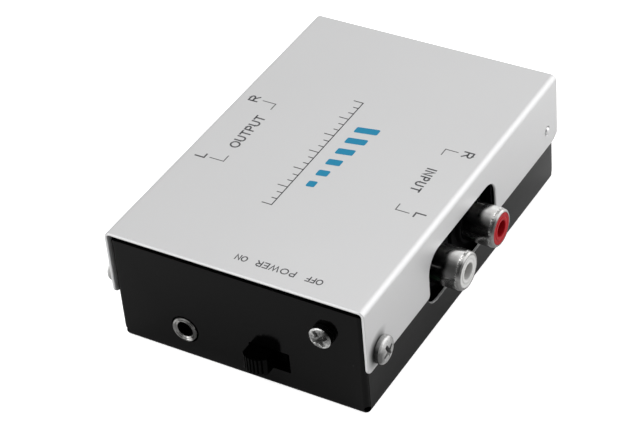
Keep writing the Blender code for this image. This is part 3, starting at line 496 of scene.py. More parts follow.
TEAL_INK = legend_ink("legend_teal_ink", (0.002, 0.185, 0.33), (0.004, 0.215, 0.37))

# ------------------------------------------------------------ mesh helpers
TO_RIGHT = Matrix(((0, 0, 1), (0, 1, 0), (-1, 0, 0)))
TO_LEFT = Matrix(((0, 0, -1), (0, 1, 0), (1, 0, 0)))
TO_FRONT = Matrix(((1, 0, 0), (0, 0, -1), (0, 1, 0)))


def add(name, mesh, mat=None):
    obj = bpy.data.objects.new(name, mesh)
    bpy.context.scene.collection.objects.link(obj)
    if mat is not None:
        mesh.materials.clear()
        mesh.materials.append(mat)
    return obj


def from_points(name, verts, faces, mat=None, axis=None, at=(0, 0, 0)):
    """A mesh of points in millimetres, turned and moved into the row frame."""
    at = Vector(at)
    turned = [((axis @ Vector(v)) if axis else Vector(v)) + at for v in verts]
    mesh = bpy.data.meshes.new(name)
    mesh.from_pydata([v * MM for v in turned], [], faces)
    bm = bmesh.new()
    bm.from_mesh(mesh)
    bmesh.ops.recalc_face_normals(bm, faces=bm.faces)
    bm.to_mesh(mesh)
    bm.free()
    return add(name, mesh, mat)


def smooth(obj, angle=32):
    obj.data.shade_smooth()
    obj.data.set_sharp_from_angle(angle=math.radians(angle))
    return obj


def arc(cx, cy, r, start, end, count):
    return [(cx + r * math.cos(math.radians(start + (end - start) * i / count)),
             cy + r * math.sin(math.radians(start + (end - start) * i / count)))
            for i in range(count + 1)]


def rounded(points, closed=False, steps=5):
    """A polyline of (a, b, radius) with each corner turned on its radius."""
    out = []
    count = len(points)
    for i, point in enumerate(points):
        a, b = point[:2]
        r = point[2] if len(point) > 2 else 0.0
        if r <= 0 or (not closed and i in (0, count - 1)):
            out.append((a, b))
            continue
        p, here, n = (Vector(points[(i - 1) % count][:2]), Vector((a, b)),
                      Vector(points[(i + 1) % count][:2]))
        u, v = (p - here), (n - here)
        reach = min(u.length, v.length) * 0.48
        u.normalize()
        v.normalize()
        angle = u.angle(v)
        if angle > math.pi - 0.02:
            out.append((a, b))
            continue
        cut = min(r / math.tan(angle / 2), reach)
        r = cut * math.tan(angle / 2)
        mid = (u + v).normalized() * (r / math.sin(angle / 2)) + here
        first, last = here + u * cut, here + v * cut
        a0 = math.atan2(first.y - mid.y, first.x - mid.x)
        a1 = math.atan2(last.y - mid.y, last.x - mid.x)
        turn = (a1 - a0 + math.pi) % (2 * math.pi) - math.pi
        for k in range(steps + 1):
            t = a0 + turn * k / steps
            out.append((mid.x + r * math.cos(t), mid.y + r * math.sin(t)))
    return out


def lathe(name, profile, mat=None, axis=None, at=(0, 0, 0), segments=72, ring=False, angle=32, sink=None):
    """A (radius, height[, corner radius]) profile turned round the local Z axis.
    sink(x, y) lowers a point of the turned face, for a driver recess."""
    line = rounded(profile, closed=ring)
    verts, loops = [], []
    for r, h in line:
        if r < 1e-6:
            loops.append([len(verts)])
            verts.append((0.0, 0.0, h - (sink(0.0, 0.0, h) if sink else 0.0)))
            continue
        row = []
        for k in range(segments):
            t = 2 * math.pi * k / segments
            x, y = r * math.cos(t), r * math.sin(t)
            row.append(len(verts))
            verts.append((x, y, h - (sink(x, y, h) if sink else 0.0)))
        loops.append(row)
    faces = []
    pairs = list(zip(loops, loops[1:]))
    if ring:
        pairs.append((loops[-1], loops[0]))
    for low, high in pairs:
        if len(low) == 1 and len(high) == 1:
            continue
        for k in range(segments):
            n = (k + 1) % segments
            if len(low) == 1:
                faces.append((low[0], high[k], high[n]))
            elif len(high) == 1:
                faces.append((low[k], low[n], high[0]))
            else:
                faces.append((low[k], low[n], high[n], high[k]))
    return smooth(from_points(name, verts, faces, mat, axis, at), angle)


def box_into(bm, x, y, z):
    size = Vector((x[1] - x[0], y[1] - y[0], z[1] - z[0])) * MM
    mid = Vector((x[1] + x[0], y[1] + y[0], z[1] + z[0])) * (0.5 * MM)
    bmesh.ops.create_cube(bm, size=1.0, matrix=Matrix.Translation(mid) @ Matrix.Diagonal((*size, 1.0)))


def boxes(name, spans, mat=None):
    bm = bmesh.new()
    for x, y, z in spans:
        box_into(bm, x, y, z)
    mesh = bpy.data.meshes.new(name)
    bm.to_mesh(mesh)
    bm.free()
    return add(name, mesh, mat)


def prism(name, outline, low, high, axis, mat=None):
    """An outline extruded between two values: (y, z) along X, (x, z) along Y, (x, y) along Z."""
    put = {"X": lambda a, b, t: (t, a, b), "Y": lambda a, b, t: (a, t, b), "Z": lambda a, b, t: (a, b, t)}[axis]
    count = len(outline)
    verts = [put(a, b, low) for a, b in outline] + [put(a, b, high) for a, b in outline]
    faces = [tuple(range(count)), tuple(range(2 * count - 1, count - 1, -1))]
    for i in range(count):
        n = (i + 1) % count
        faces.append((i, n, n + count, i + count))
    return from_points(name, verts, faces, mat)


def bake(obj):
    """Applies the modifiers of a piece."""
    graph = bpy.context.evaluated_depsgraph_get()
    mesh = bpy.data.meshes.new_from_object(obj.evaluated_get(graph))
    obj.modifiers.clear()
    obj.data = mesh
    return obj


def combine(obj, others, operation="DIFFERENCE"):
    for other in others if isinstance(others, (list, tuple)) else [others]:
        mod = obj.modifiers.new("b", "BOOLEAN")
        mod.operation = operation
        mod.solver = "EXACT"
        mod.object = other
        bake(obj)
        bpy.data.objects.remove(other, do_unlink=True)
    return obj


def soften(obj, width, segments=3, angle=38, skip=None):
    """Rounds the sharp edges of a piece by a small width, and shades it smooth."""
    bm = bmesh.new()
    bm.from_mesh(obj.data)
    bmesh.ops.remove_doubles(bm, verts=bm.verts, dist=0.000002)
    bmesh.ops.dissolve_degenerate(bm, edges=bm.edges, dist=0.000002)
    weight = bm.edges.layers.float.get("bevel_weight_edge") or bm.edges.layers.float.new("bevel_weight_edge")
    for edge in bm.edges:
        edge[weight] = 0.0
        if len(edge.link_faces) != 2 or edge.calc_face_angle(0.0) < math.radians(angle):
            continue
        middle = (edge.verts[0].co + edge.verts[1].co) / (2 * MM)
        if skip is None or not skip(middle):
            edge[weight] = 1.0
    bm.to_mesh(obj.data)
    bm.free()
    obj.data.shade_smooth()
    obj.data.set_sharp_from_angle(angle=math.radians(angle))
    mod = obj.modifiers.new("edges", "BEVEL")
    mod.limit_method = "WEIGHT"
    mod.width = width * MM
    mod.segments = segments
    mod.use_clamp_overlap = True
    mod.harden_normals = True
    return bake(obj)


def stands_for(obj, body, node):
    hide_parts(node)
    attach(obj, body)
    return obj


# --------------------------------------------------------------- top cover
outer = ([(-half, FLANGE_LOW)] + arc(-half + COVER_BEND, HEIGHT - COVER_BEND, COVER_BEND, 180, 90, 14)
         + arc(half - COVER_BEND, HEIGHT - COVER_BEND, COVER_BEND, 90, 0, 14) + [(half, FLANGE_LOW)])
inner_r = COVER_BEND - COVER_SHEET
inner = ([(half - COVER_SHEET, FLANGE_LOW)] + arc(half - COVER_BEND, HEIGHT - COVER_BEND, inner_r, 0, 90, 14)
         + arc(-half + COVER_BEND, HEIGHT - COVER_BEND, inner_r, 90, 180, 14) + [(-half + COVER_SHEET, FLANGE_LOW)])
cover = prism("cover_sheet", outer + inner, -DEPTH / 2, DEPTH / 2, "Y", SILVER)
cut = ([(CUT_Y[0] - CUT_LIP, FLANGE_LOW - 2)]
       + arc(CUT_Y[0] - CUT_LIP, FLANGE_LOW + CUT_LIP, CUT_LIP, -90, 0, 6)
       + arc(CUT_Y[0] + CUT_CORNER, CUT_TOP - CUT_CORNER, CUT_CORNER, 180, 90, 16)
       + arc(CUT_Y[1] - CUT_CORNER, CUT_TOP - CUT_CORNER, CUT_CORNER, 90, 0, 16)
       + arc(CUT_Y[1] + CUT_LIP, FLANGE_LOW + CUT_LIP, CUT_LIP, 180, 270, 6)
       + [(CUT_Y[1] + CUT_LIP, FLANGE_LOW - 2)])
combine(cover, prism("c", cut, -half - 3, half + 3, "X"))
front_corner = (arc(-DEPTH / 2 + FLANGE_CORNER, FLANGE_LOW + FLANGE_CORNER, FLANGE_CORNER, 180, 270, 8)
                + [(-DEPTH / 2 + FLANGE_CORNER, FLANGE_LOW - 2), (-DEPTH / 2 - 2, FLANGE_LOW - 2),
                   (-DEPTH / 2 - 2, FLANGE_LOW + FLANGE_CORNER)])
combine(cover, prism("c", front_corner, -half - 3, half + 3, "X"))
clip_y, clip_z = FLANGE_CLIP
rear_corner = [(DEPTH / 2 - 2 * clip_y, FLANGE_LOW - clip_z), (DEPTH / 2 + clip_y, FLANGE_LOW - clip_z),
               (DEPTH / 2 + clip_y, FLANGE_LOW + 2 * clip_z)]
combine(cover, prism("c", rear_corner, -half - 3, half + 3, "X"))
for side, turn in (("right", TO_RIGHT), ("left", TO_LEFT)):
    for y, z, r in ((*SIDE_SCREWS[side], 1.65), (PIN_Y, PIN_Z, PIN_R + 0.1)):
        combine(cover, lathe("c", [(0, half + 3), (r, half + 3), (r, half - 6), (0, half - 6)],
                             axis=turn, at=(0, y, z), segments=40))
soften(cover, 0.28, 4)
stands_for(cover, BOX, "top_cover")

# ------------------------------------------------------------ chassis tray
verts, faces, rings = [], [], []
for end, first, last in ((-1, 0, 90), (1, 90, 0)):
    for k in range(7):
        t = math.radians(first + (last - first) * k / 6)
        inset = TRAY_EDGE * (1 - math.sin(t))
        y = end * (TRAY_FRONT_Y - TRAY_EDGE + TRAY_EDGE * math.cos(t))
        side, r = TRAY_SIDE_X - inset, TRAY_BEND - inset
        outline = ([(-side, TRAY_SIDE_TOP)] + arc(-side + r, inset + r, r, 180, 270, 10)
                   + arc(side - r, inset + r, r, 270, 360, 10) + [(side, TRAY_SIDE_TOP)])
        rings.append([len(verts) + n for n in range(len(outline))])
        verts += [(x, y, z) for x, z in outline]
for here, there in zip(rings, rings[1:]):
    for k in range(len(here)):
        n = (k + 1) % len(here)
        faces.append((here[k], here[n], there[n], there[k]))
faces += [tuple(rings[0][::-1]), tuple(rings[-1])]
tray = from_points("tray_sheet", verts, faces, BLACK)
inner_y = TRAY_FRONT_Y - TRAY_SHEET
combine(tray, boxes("c", [((-TRAY_SIDE_X + TRAY_SHEET, TRAY_SIDE_X - TRAY_SHEET), (-inner_y, inner_y),
                           (TRAY_SHEET, HEIGHT))]))
tops, seams = [], []
for s in (-1, 1):
    tops.append(((-half, half), sorted((s * (inner_y - SEAM / 2), s * (TRAY_FRONT_Y + 1))), (TRAY_FRONT_TOP if s < 0 else TRAY_REAR_TOP, HEIGHT)))
    for side in (-1, 1):
        seams.append((sorted((side * (TRAY_SIDE_X - TRAY_SHEET - 0.3), side * (TRAY_SIDE_X + 0.5))),
                      sorted((s * (inner_y - SEAM), s * (inner_y + 0.01))), (SEAM_LOW, HEIGHT)))
combine(tray, boxes("c", tops))
for s in (-1, 1):
    for side in (-1, 1):
        low, high = sorted((s * (inner_y - SEAM / 2), s * (TRAY_FRONT_Y + 1)))
        wall_top = TRAY_FRONT_TOP if s < 0 else TRAY_REAR_TOP
        corner = arc(side * (TRAY_SIDE_X - TRAY_TOP_R), wall_top - TRAY_TOP_R, TRAY_TOP_R, 90 - side * 90, 90, 10)
        corner += [(side * (TRAY_SIDE_X - TRAY_TOP_R), HEIGHT), (side * (TRAY_SIDE_X + 1), HEIGHT),
                   (side * (TRAY_SIDE_X + 1), wall_top - TRAY_TOP_R)]
        combine(tray, prism("c", corner, low, high, "Y"))
combine(tray, boxes("c", seams))
for s in (-1, 1):
    for side in (-1, 1):
        turn = Matrix.Rotation(s * side * math.pi / 4, 3, "Z") @ TO_RIGHT
        combine(tray, lathe("c", [(0, 2.2), (RELIEF_R, 2.2), (RELIEF_R, -2.2), (0, -2.2)], axis=turn,
                            at=(side * TRAY_SIDE_X, s * TRAY_FRONT_Y, SEAM_LOW), segments=20))
window = (arc(WINDOW_Y[0] + WINDOW_CORNER, WINDOW_Z[0] + WINDOW_CORNER, WINDOW_CORNER, 180, 270, 12)
          + arc(WINDOW_Y[1] - WINDOW_CORNER, WINDOW_Z[0] + WINDOW_CORNER, WINDOW_CORNER, 270, 360, 12)
          + arc(WINDOW_Y[1] - WINDOW_CORNER, WINDOW_Z[1] - WINDOW_CORNER, WINDOW_CORNER, 0, 90, 12)
          + arc(WINDOW_Y[0] + WINDOW_CORNER, WINDOW_Z[1] - WINDOW_CORNER, WINDOW_CORNER, 90, 180, 12))
for s in (-1, 1):
    combine(tray, prism("c", window, s * (TRAY_SIDE_X - 3), s * (TRAY_SIDE_X + 3), "X"))
for side, turn in (("right", TO_RIGHT), ("left", TO_LEFT)):
    for y, z, r in ((*SIDE_SCREWS[side], 1.5), (PIN_Y, PIN_Z, PIN_R + 0.1)):
        combine(tray, lathe("c", [(0, half + 3), (r, half + 3), (r, half - 6), (0, half - 6)],
                            axis=turn, at=(0, y, z), segments=36))
for x, z, r in ((JACK_X, JACK_Z, JACK_HOLE), (GROUND_X, GROUND_Z, 1.45)):
    combine(tray, lathe("c", [(0, 3), (r, 3), (r, -3), (0, -3)], axis=TO_FRONT,
                        at=(x, -TRAY_FRONT_Y, z), segments=48))
slot_outline = rounded([(SLOT_X[0], SLOT_Z[0], 0.25), (SLOT_X[1], SLOT_Z[0], 0.25),
                        (SLOT_X[1], SLOT_Z[1], 0.25), (SLOT_X[0], SLOT_Z[1], 0.25)], closed=True, steps=4)
combine(tray, prism("c", slot_outline, -TRAY_FRONT_Y - 2, -TRAY_FRONT_Y + 2.2, "Y"))


def in_seam(p):
    return abs(p.x) > TRAY_SIDE_X - TRAY_SHEET - 0.35 and abs(p.y) > inner_y - SEAM - 0.02


soften(tray, 0.09, 2, skip=in_seam)
stands_for(tray, BOX, "chassis_tray")


# ------------------------------------------------- cross-recessed pan heads
def cross_cutter(top, reach, slot, depth, turn_degrees, axis, at):
    """A tapered cross with square wings and a deeper pointed heart, to cut out of a head's face."""
    rows = []
    for lift, far, wide in ((0.6, reach * 1.12, slot * 1.12), (0.0, reach, slot), (-depth * 0.62, reach * 0.66, slot * 0.62),
                            (-depth, reach * 0.34, slot * 0.50)):
        w = wide / 2
        row = []
        for k in range(4):
            c, s = math.cos(math.radians(turn_degrees + 90 * k)), math.sin(math.radians(turn_degrees + 90 * k))
            for u, v in ((w * 1.15, -w * 1.15), (far, -w * 0.92), (far, w * 0.92)):
                row.append((c * u - s * v, s * u + c * v, top + lift))
        rows.append(row)
    count = len(rows[0])
    verts = [p for row in rows for p in row] + [(0, 0, top - depth * 1.35)]
    faces = [tuple(range(count))]
    for i in range(len(rows) - 1):
        for k in range(count):
            n = (k + 1) % count
            faces.append((i * count + k, i * count + n, (i + 1) * count + n, (i + 1) * count + k))
    last = (len(rows) - 1) * count
    faces += [(last + k, last + (k + 1) % count, len(verts) - 1) for k in range(count)]
    return from_points("c", verts, faces, None, axis, at)


def pan_head(name, outline, cutter, mat, axis, at, edge=0.07):
    """A turned head with a cross recess; the rim of the recess is slightly rolled over."""
    head = lathe(name, outline, mat, axis, at, segments=96, angle=60)
    combine(head, cutter)
    return soften(head, edge, 2, angle=34)


for s, name, axis in ((1, "right", TO_RIGHT), (-1, "left", TO_LEFT)):
    at = (s * half, *SIDE_SCREWS[name])
    crown = [(SIDE_HEAD_R * math.sin(t), 0.95 + 0.8 * math.cos(t) ** 0.84) for t in
             [math.radians(a) for a in range(0, 86, 5)]]
    crown = [(0.0, 1.75)] + crown[1:] + [(SIDE_HEAD_R, 0.95), (SIDE_HEAD_R, 0.12), (SIDE_HEAD_R - 0.08, GAP), (1.3, GAP),
                                        (1.3, -4.3), (0.8, -4.8), (0, -4.8)]
    head = pan_head("cover_screw_head_" + name, crown, cross_cutter(1.62, 1.75, 0.85, 1.05, 24, axis, at),
                    SCREWS[name], axis, at)
    stands_for(head, BOX, "cover_screw_" + name)

    inner_x = TRAY_SIDE_X - TRAY_SHEET
    pin = lathe("locating_pin_" + name,
                [(0, half + 0.4), (0.45, half + 0.33, 0.6), (0.72, half + 0.15, 0.3), (PIN_R, half - 0.1, 0.2),
                 (PIN_R, inner_x - GAP), (1.9, inner_x - GAP), (1.9, inner_x - 0.6), (0, inner_x - 0.6)],
                PIN, axis, (0, PIN_Y, PIN_Z), segments=40)
    stands_for(pin, BOX, "rear_locating_pin_" + name)

# ------------------------------------------------------------ phono sockets
for s, bank, axis in ((1, "input", TO_RIGHT), (-1, "output", TO_LEFT)):
    low_y, high_y = SOCKETS["left"] - 6.3, SOCKETS["right"] + 6.3
    block = boxes(bank + "_socket_moulding", [(sorted((s * BLOCK_BACK, s * BLOCK_FACE)), (low_y, high_y),
                                               (BOARD_TOP + GAP, SOCKET_Z + 6.3))], BLOCK)
    middle = (SOCKETS["left"] + SOCKETS["right"]) / 2
    combine(block, boxes("c", [(sorted((s * (BLOCK_FACE - 1.4), s * (BLOCK_FACE + 1))),
                                (middle - 0.7, middle + 0.7), (2, 20))]))
    for channel, y in SOCKETS.items():
        at = (0, y, SOCKET_Z)
        combine(block, lathe("c", [(0, COLLAR_FACE), (COLLAR_R, COLLAR_FACE, 0.3), (COLLAR_R, BLOCK_FACE - 1),
                                   (0, BLOCK_FACE - 1)], axis=axis, at=at, segments=64), "UNION")
        combine(block, lathe("c", [(0, COLLAR_FACE + 1), (SHELL_R + GAP, COLLAR_FACE + 1),
                                   (SHELL_R + GAP, SHELL_ROOT - GAP), (1.25, SHELL_ROOT - GAP),
                                   (1.25, BLOCK_BACK - 1), (0, BLOCK_BACK - 1)],
                             axis=axis, at=at, segments=64))
        tag = bank + "_" + channel
        shell = lathe(tag + "_socket_shell",
                      [(SHELL_BORE, SHELL_END - 0.04, 0.05), (3.62, SHELL_END - 0.02, 0.1), (3.95, SHELL_END - 0.30, 0.3), (SHELL_R, SHELL_END - 0.95, 0.3),
                       (SHELL_R, SHELL_ROOT), (SHELL_BORE, SHELL_ROOT)],
                      SHELLS[channel], axis, at, segments=96, ring=True)
        stands_for(shell, BOX, tag + "_shell")
        ring = lathe(tag + "_socket_insulator",
                     [(1.72, SHELL_END - 0.02, 0.2), (2.32, SHELL_END - 0.02, 0.12), (2.5, SHELL_END - 0.12, 0.1),
                      (SHELL_BORE - 0.02, SHELL_END - 0.02, 0.08), (SHELL_BORE - 0.05, SHELL_ROOT + 0.3),
                      (1.25, SHELL_ROOT + 0.3), (1.25, SHELL_ROOT + 2.0), (1.72, SHELL_ROOT + 2.0)],
                     WHITE if channel == "left" else RED, axis, at, segments=72, ring=True)
        stands_for(ring, BOX, tag + "_insulator")
    soften(block, 0.14, 2)
    stands_for(block, BOX, bank + "_jack_block")

# --------------------------------------------------------------- power jack
ferrule = lathe("jack_ferrule",
                [(JACK_BORE, JACK_END - 0.32, 0.08), (JACK_BORE + 0.30, JACK_END - 0.08, 0.08), (JACK_BORE + 0.46, JACK_END - 0.24, 0.06),
                 (JACK_BORE + 0.62, JACK_END - 0.02, 0.08), (JACK_R - 0.14, JACK_END, 0.14), (JACK_R, JACK_END - 0.3, 0.12),
                 (JACK_R, 38.3), (JACK_BORE, 38.3)],
                FERRULE, TO_FRONT, (JACK_X, 0, JACK_Z), segments=96, ring=True)
stands_for(ferrule, BOX, "power_jack_ferrule")

# ------------------------------------------------------------- slide switch
knob_high = KNOB_Z + KNOB_RISE
knob_low = knob_high - KNOB_H


def knob_front(x):
    return KNOB_END - KNOB_ROUND + math.sqrt(KNOB_ROUND ** 2 - x * x)


plan = [(KNOB_X - KNOB_W / 2, -38.4)]
for i in range(7):
    first = -KNOB_W / 2 + KNOB_W * i / 7 + (0.17 if i else 0.0)
    last = -KNOB_W / 2 + KNOB_W * (i + 1) / 7 - (0.17 if i < 6 else 0.0)
    if i:
        plan.append((KNOB_X + first, 0.4 - knob_front(first)))
    plan += [(KNOB_X + x, -knob_front(x)) for x in (first, (first + last) / 2, last)]
    if i < 6:
        plan.append((KNOB_X + last, 0.4 - knob_front(last)))
plan.append((KNOB_X + KNOB_W / 2, -38.4))
knob = prism("switch_slider", plan, knob_low, knob_high, "Z", KNOB)
combine(knob, boxes("c", [((KNOB_X - 4.7, KNOB_X + 4.7), (-39.1, -37.75), (knob_low, knob_high - 0.1))]), "UNION")
soften(knob, 0.09, 2)
stands_for(knob, "power_switch", "switch_knob")

# ---------------------------------------------------------- ground terminal
head_base = TRAY_FRONT_Y + 0.35
crown = [(GROUND_HEAD_R * math.sin(t), head_base + 0.95 + 0.55 * math.cos(t) ** 0.84) for t in
         [math.radians(a) for a in range(0, 86, 5)]]
crown = [(0.0, head_base + 1.5)] + crown[1:] + [(GROUND_HEAD_R, head_base + 0.95), (GROUND_HEAD_R, head_base + 0.12),
                                               (GROUND_HEAD_R - 0.12, head_base), (GROUND_SHANK_R, head_base),
                                               (GROUND_SHANK_R, 31.6), (0.8, 31.2), (0, 31.2)]
screw = pan_head("ground_terminal_screw", crown,
                 cross_cutter(head_base + 1.42, 2.1, 1.05, 0.85, 31, TO_FRONT, (GROUND_X, 0, GROUND_Z)),
                 CHROME, TO_FRONT, (GROUND_X, 0, GROUND_Z))
stands_for(screw, "terminal_screw", "ground_screw")
washer = lathe("ground_terminal_washer",
               [(2.4, TRAY_FRONT_Y + 0.3, 0.08), (2.4, TRAY_FRONT_Y + GAP, 0.05), (1.35, TRAY_FRONT_Y + GAP),
                (1.35, TRAY_FRONT_Y + 0.3)], DARK_PLATE, TO_FRONT, (GROUND_X, 0, GROUND_Z), segments=64, ring=True)
stands_for(washer, "clamp_washer", "ground_washer")

# ----------------------------------------------------------- printed legends
GLYPHS = {
    "O": (0.86, [[(0.43 + 0.43 * math.cos(a), 0.5 + 0.5 * math.sin(a))
                  for a in [math.radians(15 * k) for k in range(25)]]]),
    "U": (0.66, [[(0, 1), (0, 0.33)] + arc(0.33, 0.33, 0.33, 180, 360, 12) + [(0.66, 1)]]),
    "T": (0.64, [[(0, 1), (0.64, 1)], [(0.32, 1), (0.32, 0)]]),
    "P": (0.58, [[(0, 0), (0, 1), (0.32, 1)] + arc(0.32, 0.74, 0.26, 90, -90, 12) + [(0, 0.48)]]),
    "R": (0.60, [[(0, 0), (0, 1), (0.32, 1)] + arc(0.32, 0.74, 0.26, 90, -90, 12) + [(0, 0.48)],
                 [(0.27, 0.48), (0.60, 0)]]),
    "I": (0.0, [[(0, 0), (0, 1)]]),
    "N": (0.68, [[(0, 0), (0, 1), (0.68, 0), (0.68, 1)]]),
    "L": (0.50, [[(0, 1), (0, 0), (0.50, 0)]]),
    "W": (1.04, [[(0, 1), (0.26, 0), (0.52, 1), (0.78, 0), (1.04, 1)]]),
    "E": (0.52, [[(0.52, 1), (0, 1), (0, 0), (0.52, 0)], [(0, 0.51), (0.46, 0.51)]]),
    "F": (0.50, [[(0, 0), (0, 1), (0.50, 1)], [(0, 0.50), (0.43, 0.50)]]),
}


def ribbons(name, lines, width, mat, height=0.012):
    """Flat ink strokes lying on the cover: each polyline becomes a thin strip with mitred joints."""
    verts, faces = [], []
    top, low = HEIGHT + height, HEIGHT - 0.004
    for line in lines:
        pts = [Vector(p) for p in line]
        closed = (pts[0] - pts[-1]).length < 1e-6
        if closed:
            pts = pts[:-1]
        count = len(pts)
        rows = []
        for i, p in enumerate(pts):
            before = pts[i - 1] if (i or closed) else None
            after = pts[(i + 1) % count] if (i < count - 1 or closed) else None
            d0 = (p - before).normalized() if before is not None else None
            d1 = (after - p).normalized() if after is not None else None
            if d0 is None:
                p = p - d1 * (width / 2)
                d0 = d1
            if d1 is None:
                p = p + d0 * (width / 2)
                d1 = d0
            n0, n1 = Vector((-d0.y, d0.x)), Vector((-d1.y, d1.x))
            n = n0 + n1
            n.normalize()
            n *= (width / 2) / max(n.dot(n0), 0.45)
            rows.append((p + n, p - n))
        base = len(verts)
        for a, b in rows:
            verts += [(a.x, a.y, top), (b.x, b.y, top), (a.x, a.y, low), (b.x, b.y, low)]
        spans = count if closed else count - 1
        for i in range(spans):
            j, k = base + 4 * i, base + 4 * ((i + 1) % count)
            faces += [(j, j + 1, k + 1, k), (j + 2, k + 2, k + 3, j + 3), (j, k, k + 2, j + 2), (j + 1, j + 3, k + 3, k + 1)]
        if not closed:
            e = base + 4 * (count - 1)
            faces += [(base, base + 2, base + 3, base + 1), (e, e + 1, e + 3, e + 2)]
    obj = from_points(name, verts, faces, mat, at=(LEGEND_X, 0, 0))
    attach(obj, BOX)
    return obj


def word(text, place, length, spacing=0.30):
    """Strokes of a word, scaled to a length; place(u, v) puts a point of it on the cover."""
    total = sum(GLYPHS[ch][0] for ch in text) + spacing * (len(text) - 1)
    lines, u = [], 0.0
    for ch in text:
        wide, strokes = GLYPHS[ch]
        for stroke in strokes:
            lines.append([place((u + a) / total * length, b) for a, b in stroke])
        u += wide + spacing
    return lines


def reads_back(x_low, x_high, y_start):      # reads towards +Y, tops towards -X
    return lambda u, v: (x_high - (x_high - x_low) * v, y_start + u)


def reads_front(x_low, x_high, y_start):     # reads towards -Y, tops towards +X
    return lambda u, v: (x_low + (x_high - x_low) * v, y_start - u)


def reads_left(y_low, y_high, x_start):      # reads towards -X, tops towards -Y
    return lambda u, v: (x_start - u, y_high - (y_high - y_low) * v)


INK = 0.36
letters = []
letters += word("OUTPUT", reads_back(-21.1, -19.2, -7.4), 11.1)
letters += word("L", reads_back(-25.6, -23.6, -12.8), 1.15)
letters += word("R", reads_back(-25.7, -23.8, 7.8), 1.6)
letters += word("INPUT", reads_front(18.6, 20.4, 2.2), 7.35, 0.46)
letters += word("L", reads_front(23.0, 25.0, -11.0), 1.2)
letters += word("R", reads_front(22.8, 24.8, 10.0), 1.6)
ribbons("socket_legends", letters, INK, GREY_INK)
switch_words = []
switch_words += word("OFF", reads_left(-37.2, -35.9, 17.0), 3.3)
switch_words += word("POWER", reads_left(-37.25, -35.85, 11.2), 8.2)
switch_words += word("ON", reads_left(-37.2, -35.9, 0.8), 2.3)
ribbons("switch_legends", switch_words, 0.26, GREY_INK)
ribbons("socket_brackets", [
    [(-22.5, -12.3), (-19.35, -12.3), (-19.35, -10.4)],
    [(-22.7, 8.65), (-19.7, 8.65), (-19.7, 6.7)],
    [(21.8, -11.7), (18.9, -11.7), (18.9, -9.9)],
    [(21.6, 9.2), (18.9, 9.2), (18.9, 7.3)],
], 0.21, GREY_INK)

# A plain level graphic: slanted bars over a ruled scale.
ticks = [[(-3.5, 16.2), (-3.5, -20.3)]]
for i in range(19):
    y = 16.2 - 36.5 * i / 18
    ticks.append([(-3.5, y), (-5.6 if i % 3 == 0 else -4.6, y)])
ribbons("level_scale", ticks, 0.22, DARK_INK)
bar_verts, bar_faces = [], []
for i in range(6):
    y0 = 8.6 - 3.85 * i
    tall = 4.9 - 0.62 * i
    lean = 0.18
    outline = rounded([(-0.6, y0, 0.35), (-0.6 + tall, y0 + lean * tall, 0.35),
                       (-0.6 + tall, y0 - 1.9 + lean * tall, 0.35), (-0.6, y0 - 1.9, 0.35)], closed=True, steps=5)
    base, count = len(bar_verts), len(outline)
    bar_verts += [(a, b, HEIGHT + 0.012) for a, b in outline] + [(a, b, HEIGHT - 0.004) for a, b in outline]
    bar_faces += [tuple(range(base, base + count)), tuple(range(base + 2 * count - 1, base + count - 1, -1))]
    for k in range(count):
        n = (k + 1) % count
        bar_faces.append((base + k, base + n, base + count + n, base + count + k))
bars = from_points("level_bars", bar_verts, bar_faces, TEAL_INK, at=(LEGEND_X, 0, 0))
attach(bars, BOX)

# -------------------------------------------- finishes of the carried-over nodes
CARRIED = {
    "circuit_board": GREEN_BOARD, "insulating_sheet": FILM, "power_jack_body": BLOCK, "switch_base": BLOCK,
    "power_jack_contact": BRASS, "switch_frame": DARK_PLATE, "switch_wiper": BRASS, "ground_lug": ZINC,
    "ground_nut": ZINC, "ground_wire": WIRE, "preamp_chip": CHIP, "voltage_regulator": CHIP,
    "supply_capacitor": CAN, "coupling_capacitor_left": CAN, "coupling_capacitor_right": CAN,
    "film_capacitor_left": DIPPED, "film_capacitor_right": DIPPED, "protection_diode": CHIP,
}
for n in range(1, 5):
    CARRIED["board_standoff_%d" % n] = ZINC
    CARRIED["board_screw_%d" % n] = ZINC
    CARRIED["resistor_%d" % n] = BEIGE
for n in range(1, 4):
    CARRIED["switch_terminal_%d" % n] = BRASS
for bank in ("input", "output"):
    for channel in SOCKETS:
        CARRIED["%s_%s_contact" % (bank, channel)] = BRASS
for name, mat in CARRIED.items():
    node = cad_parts[name]
    node.data.materials.clear()
    node.data.materials.append(mat)

# -------------------------------------------------------------------- stage
bm = bmesh.new()
bmesh.ops.create_grid(bm, x_segments=8, y_segments=8, size=3.0)
mesh = bpy.data.meshes.new("floor")
bm.to_mesh(mesh)
bm.free()
floor_paint = Paint("floor_white", specular=0.2)
sheen = floor_paint.noise(60.0, 2.0)
place = floor_paint.tree.nodes.new("ShaderNodeSeparateXYZ")
floor_paint.tree.links.new(floor_paint.coords, place.inputs[0])
seen = floor_paint.tree.nodes.new("ShaderNodeLightPath").outputs["Is Camera Ray"]
# Painted shade on the floor as other rays see it: darker towards the front, paler behind; camera rays see it plain
# white and glowing.
depth = floor_paint.span(place.outputs[1], 0.60, 0.90, -0.055, 0.085)
shaded_floor = floor_paint.mix(depth, (0.0, 0.0, 0.0), (1.0, 1.0, 1.0))
pale = floor_paint.mix(sheen, (0.90, 0.90, 0.90), (0.93, 0.93, 0.93))
floor_paint.colour(floor_paint.mix(seen, shaded_floor, pale))
floor_paint.roughness(floor_paint.span(sheen, 0.55, 0.7))
floor_paint.shader.inputs["Emission Color"].default_value = (1, 1, 1, 1)
floor_paint.link(floor_paint.math("MULTIPLY", seen, 0.75), floor_paint.shader.inputs["Emission Strength"])
floor = add("floor", mesh, floor_paint.mat)
floor.location.z = -0.00002

